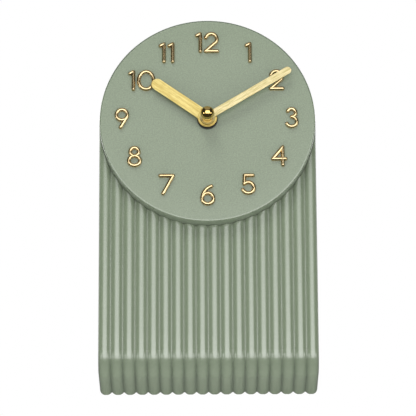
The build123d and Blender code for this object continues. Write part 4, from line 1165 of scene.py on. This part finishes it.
# %% Finishes of the inner pieces
INNER_FINISHES = {
    "white_nylon": ["motion_wheel", "hour_wheel", "centre_wheel", "third_wheel", "seconds_wheel",
                    "step_wheel"],
    "arbor_brass": ["minute_arbor", "clutch_spring"],
    "magnet_grey": ["rotor"],
    "motor_steel": ["stator", "coil_core"],
    "black_plastic": ["coil_bobbin"],
    "winding_copper": ["coil_winding"],
    "board_green": ["circuit_board"],
    "chip_black": ["chip_cover"],
    "can_silver": ["quartz_crystal"],
    "contact_steel": ["contact_positive", "contact_negative"],
    "rubber": ["bush_washer"],
    "screw_steel": ["dial_screws", "weight_screws"],
    "weight_iron": ["foot_weight"],
}
for finish, nodes in INNER_FINISHES.items():
    for node in nodes:
        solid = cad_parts[node]
        if not solid.material_slots:
            solid.data.materials.append(finishes[finish])
        for holder in solid.material_slots:
            holder.material = finishes[finish]
print("inner pieces", sum(len(nodes) for nodes in INNER_FINISHES.values()))

# %% [markdown]
# The clock stands on a plain pale floor. The camera looks up at the clock from below the floor's level,
# so the floor shows to the camera alone, only from above, and it never shades the underside. It glows a
# little, to stay as pale as the background.

# %% Floor
FLOOR_HALF = 1.5
FLOOR_GLOW = 0.35


def seen_rays(tree):
    """The node that tells rays apart, and a share of one for rays that show a thing to the camera."""
    rays = Wire.make(tree, "ShaderNodeLightPath")
    return rays, (rays.out("Is Camera Ray") + rays.out("Is Transmission Ray")).clamp()


def floor_finish():
    tree, place = new_finish("pale_floor", Roughness=0.7, Emission_Strength=FLOOR_GLOW)
    fleck = noise(tree, place, scale=300.0, detail=3.0)
    pale = blended(tree, fleck, rgb(238, 238, 236), rgb(246, 246, 245))
    feed(tree, Base_Color=pale, Emission_Color=pale)
    _, seen = seen_rays(tree)
    backside = Wire.make(tree, "ShaderNodeNewGeometry", out="Backfacing")
    clear = Wire.make(tree, "ShaderNodeBsdfTransparent")
    solid = Wire(tree.nodes[SHADER].outputs[0])
    mixed = Wire.make(tree, "ShaderNodeMixShader", {0: seen * (1.0 - backside), 1: clear, 2: solid})
    tree.links.new(mixed.socket, tree.nodes["Material Output"].inputs["Surface"])


def floor_sheet():
    floor_finish()
    mesh = bpy.data.meshes.new("floor")
    corners = [(-FLOOR_HALF, -FLOOR_HALF, 0), (FLOOR_HALF, -FLOOR_HALF, 0), (FLOOR_HALF, FLOOR_HALF, 0),
               (-FLOOR_HALF, FLOOR_HALF, 0)]
    mesh.from_pydata(corners, [], [(0, 1, 2, 3)])
    mesh.materials.append(finishes["pale_floor"])
    return linked("floor", mesh)


floor_sheet()
print("floor", 2 * FLOOR_HALF, "metres square")

# %% [markdown]
# One large soft panel stands in front of the clock, a little to the right, and the ribs carry a bright
# line where they mirror it. A smaller key panel above on the left throws the soft shadows under the hands,
# and stays out of mirror-like reflections. Two small strips give the ball its side spots, and dim panels
# above and behind serve the other views.

# %% Panels of light
AIM = Vector((0.0, 0.0, 0.1))
PANELS = {
    "front_panel": {"azimuth": 5.0, "height": -4.1, "distance": 2.4, "size": (3.62, 2.14), "power": 63.0},
    "key_panel": {"azimuth": -18.0, "height": 54.0, "distance": 1.6, "size": (0.75, 0.75), "power": 24.0,
                  "mirrored": False},
    "left_strip": {"azimuth": -62.0, "height": -10.0, "distance": 1.2, "size": (0.3, 0.34), "power": 1.0},
    "right_strip": {"azimuth": 62.0, "height": -10.0, "distance": 1.2, "size": (0.3, 0.34), "power": 1.0},
    "top_panel": {"azimuth": 0.0, "height": 72.0, "distance": 1.5, "size": (1.8, 1.6), "power": 2.5},
    "left_rear": {"azimuth": -140.0, "height": 25.0, "distance": 1.8, "size": (0.8, 1.0), "power": 7.0},
    "right_rear": {"azimuth": 140.0, "height": 25.0, "distance": 1.8, "size": (0.8, 1.0), "power": 7.0},
}


def soft_panel(title, azimuth, height, distance, size, power, mirrored=True):
    """A panel that faces the clock from an azimuth and a height in degrees."""
    lamp = bpy.data.lights.new(title, "AREA")
    lamp.shape = "RECTANGLE"
    lamp.size, lamp.size_y = size
    lamp.energy = power
    holder = linked(title, lamp)
    holder.visible_glossy = mirrored
    turn = math.radians(azimuth)
    lift = math.radians(height)
    out = Vector((math.sin(turn) * math.cos(lift), -math.cos(turn) * math.cos(lift), math.sin(lift)))
    holder.location = AIM + out * distance
    holder.rotation_euler = (-out).to_track_quat("-Z", "Y").to_euler()


for title, facts in PANELS.items():
    soft_panel(title, **facts)
print("panels", len(PANELS))

# %% [markdown]
# The world is white where the camera looks. To light the clock it gives a weak fill from above and a
# stronger glow from below, as a pale table top would, most of it from behind. A glossy surface sees a
# dark studio instead, with a dim backdrop behind the clock and a dim wall high up in front.

# %% World
FILL_LIGHT = 0.12
FRONT_GLOW = 1.05
REAR_GLOW = 2.35
GLOW_BORDER = -0.55
DARK_STUDIO = 0.04
BACKDROP_SHEEN = 0.12
BACKDROP_BORDER = 0.15
WALL_SHEEN = 0.22
WALL_BORDER = -0.7
WALL_FOOT = 0.3


def grey(level):
    return (level, level, level, 1.0)


def studio_world():
    world = bpy.data.worlds.new("studio")
    bpy.context.scene.world = world
    world.use_nodes = True
    tree = world.node_tree
    rays, seen = seen_rays(tree)
    _, back, rise = split(tree, Wire.make(tree, "ShaderNodeTexCoord", out="Generated"))
    glow = blended(tree, back > GLOW_BORDER, grey(FRONT_GLOW), grey(REAR_GLOW))
    fill = blended(tree, rise < 0.0, grey(FILL_LIGHT), glow)
    wall = (back < WALL_BORDER) * (rise > WALL_FOOT)
    studio = blended(tree, wall, grey(DARK_STUDIO), grey(WALL_SHEEN))
    backdrop = (back > BACKDROP_BORDER) * (rise > 0.0)
    mirrored = blended(tree, backdrop, studio, grey(BACKDROP_SHEEN))
    lit = blended(tree, rays.out("Is Glossy Ray"), fill, mirrored)
    shown = blended(tree, seen, lit, grey(1.0))
    tree.links.new(shown.socket, tree.nodes["Background"].inputs["Color"])
    return world


print("world", studio_world().name)

# %% [markdown]
# The photograph looks up at the clock by about twenty degrees, through a long lens nearly two metres
# away, and leans by a quarter of a degree. The dial's centre is placed at its pixel in the picture.

# %% Camera
PICTURE_SIDE = 416
LOOK_UP = math.radians(19.95)
LEAN = math.radians(0.27)
LENS = 312.4
SENSOR = 36.0
DIAL_DISTANCE = 1.865
DIAL_PIXEL = (207.42, 119.84)


def set_camera():
    lens = bpy.data.cameras.new("camera")
    lens.lens = LENS
    lens.sensor_width = SENSOR
    camera = linked("camera", lens)
    pixel = DIAL_DISTANCE * SENSOR / LENS / PICTURE_SIDE
    ahead = Vector((0.0, math.cos(LOOK_UP), math.sin(LOOK_UP)))
    level_up = Vector((0.0, -math.sin(LOOK_UP), math.cos(LOOK_UP)))
    up = Matrix.Rotation(LEAN, 3, ahead) @ level_up
    right = ahead.cross(up)
    target = Vector((0.0, FACE_Y, DIAL_Z))
    target += right * pixel * (PICTURE_SIDE / 2 - DIAL_PIXEL[0])
    target -= up * pixel * (PICTURE_SIDE / 2 - DIAL_PIXEL[1])
    turn = Matrix((right, up, -ahead)).transposed()
    camera.matrix_world = Matrix.Translation(target - ahead * DIAL_DISTANCE) @ turn.to_4x4()
    bpy.context.scene.camera = camera
    return camera


print("camera at", [round(value, 3) for value in set_camera().matrix_world.translation])

# %% [markdown]
# Last, the picture is shown without a film look.

bpy.context.scene.view_settings.view_transform = "Standard"
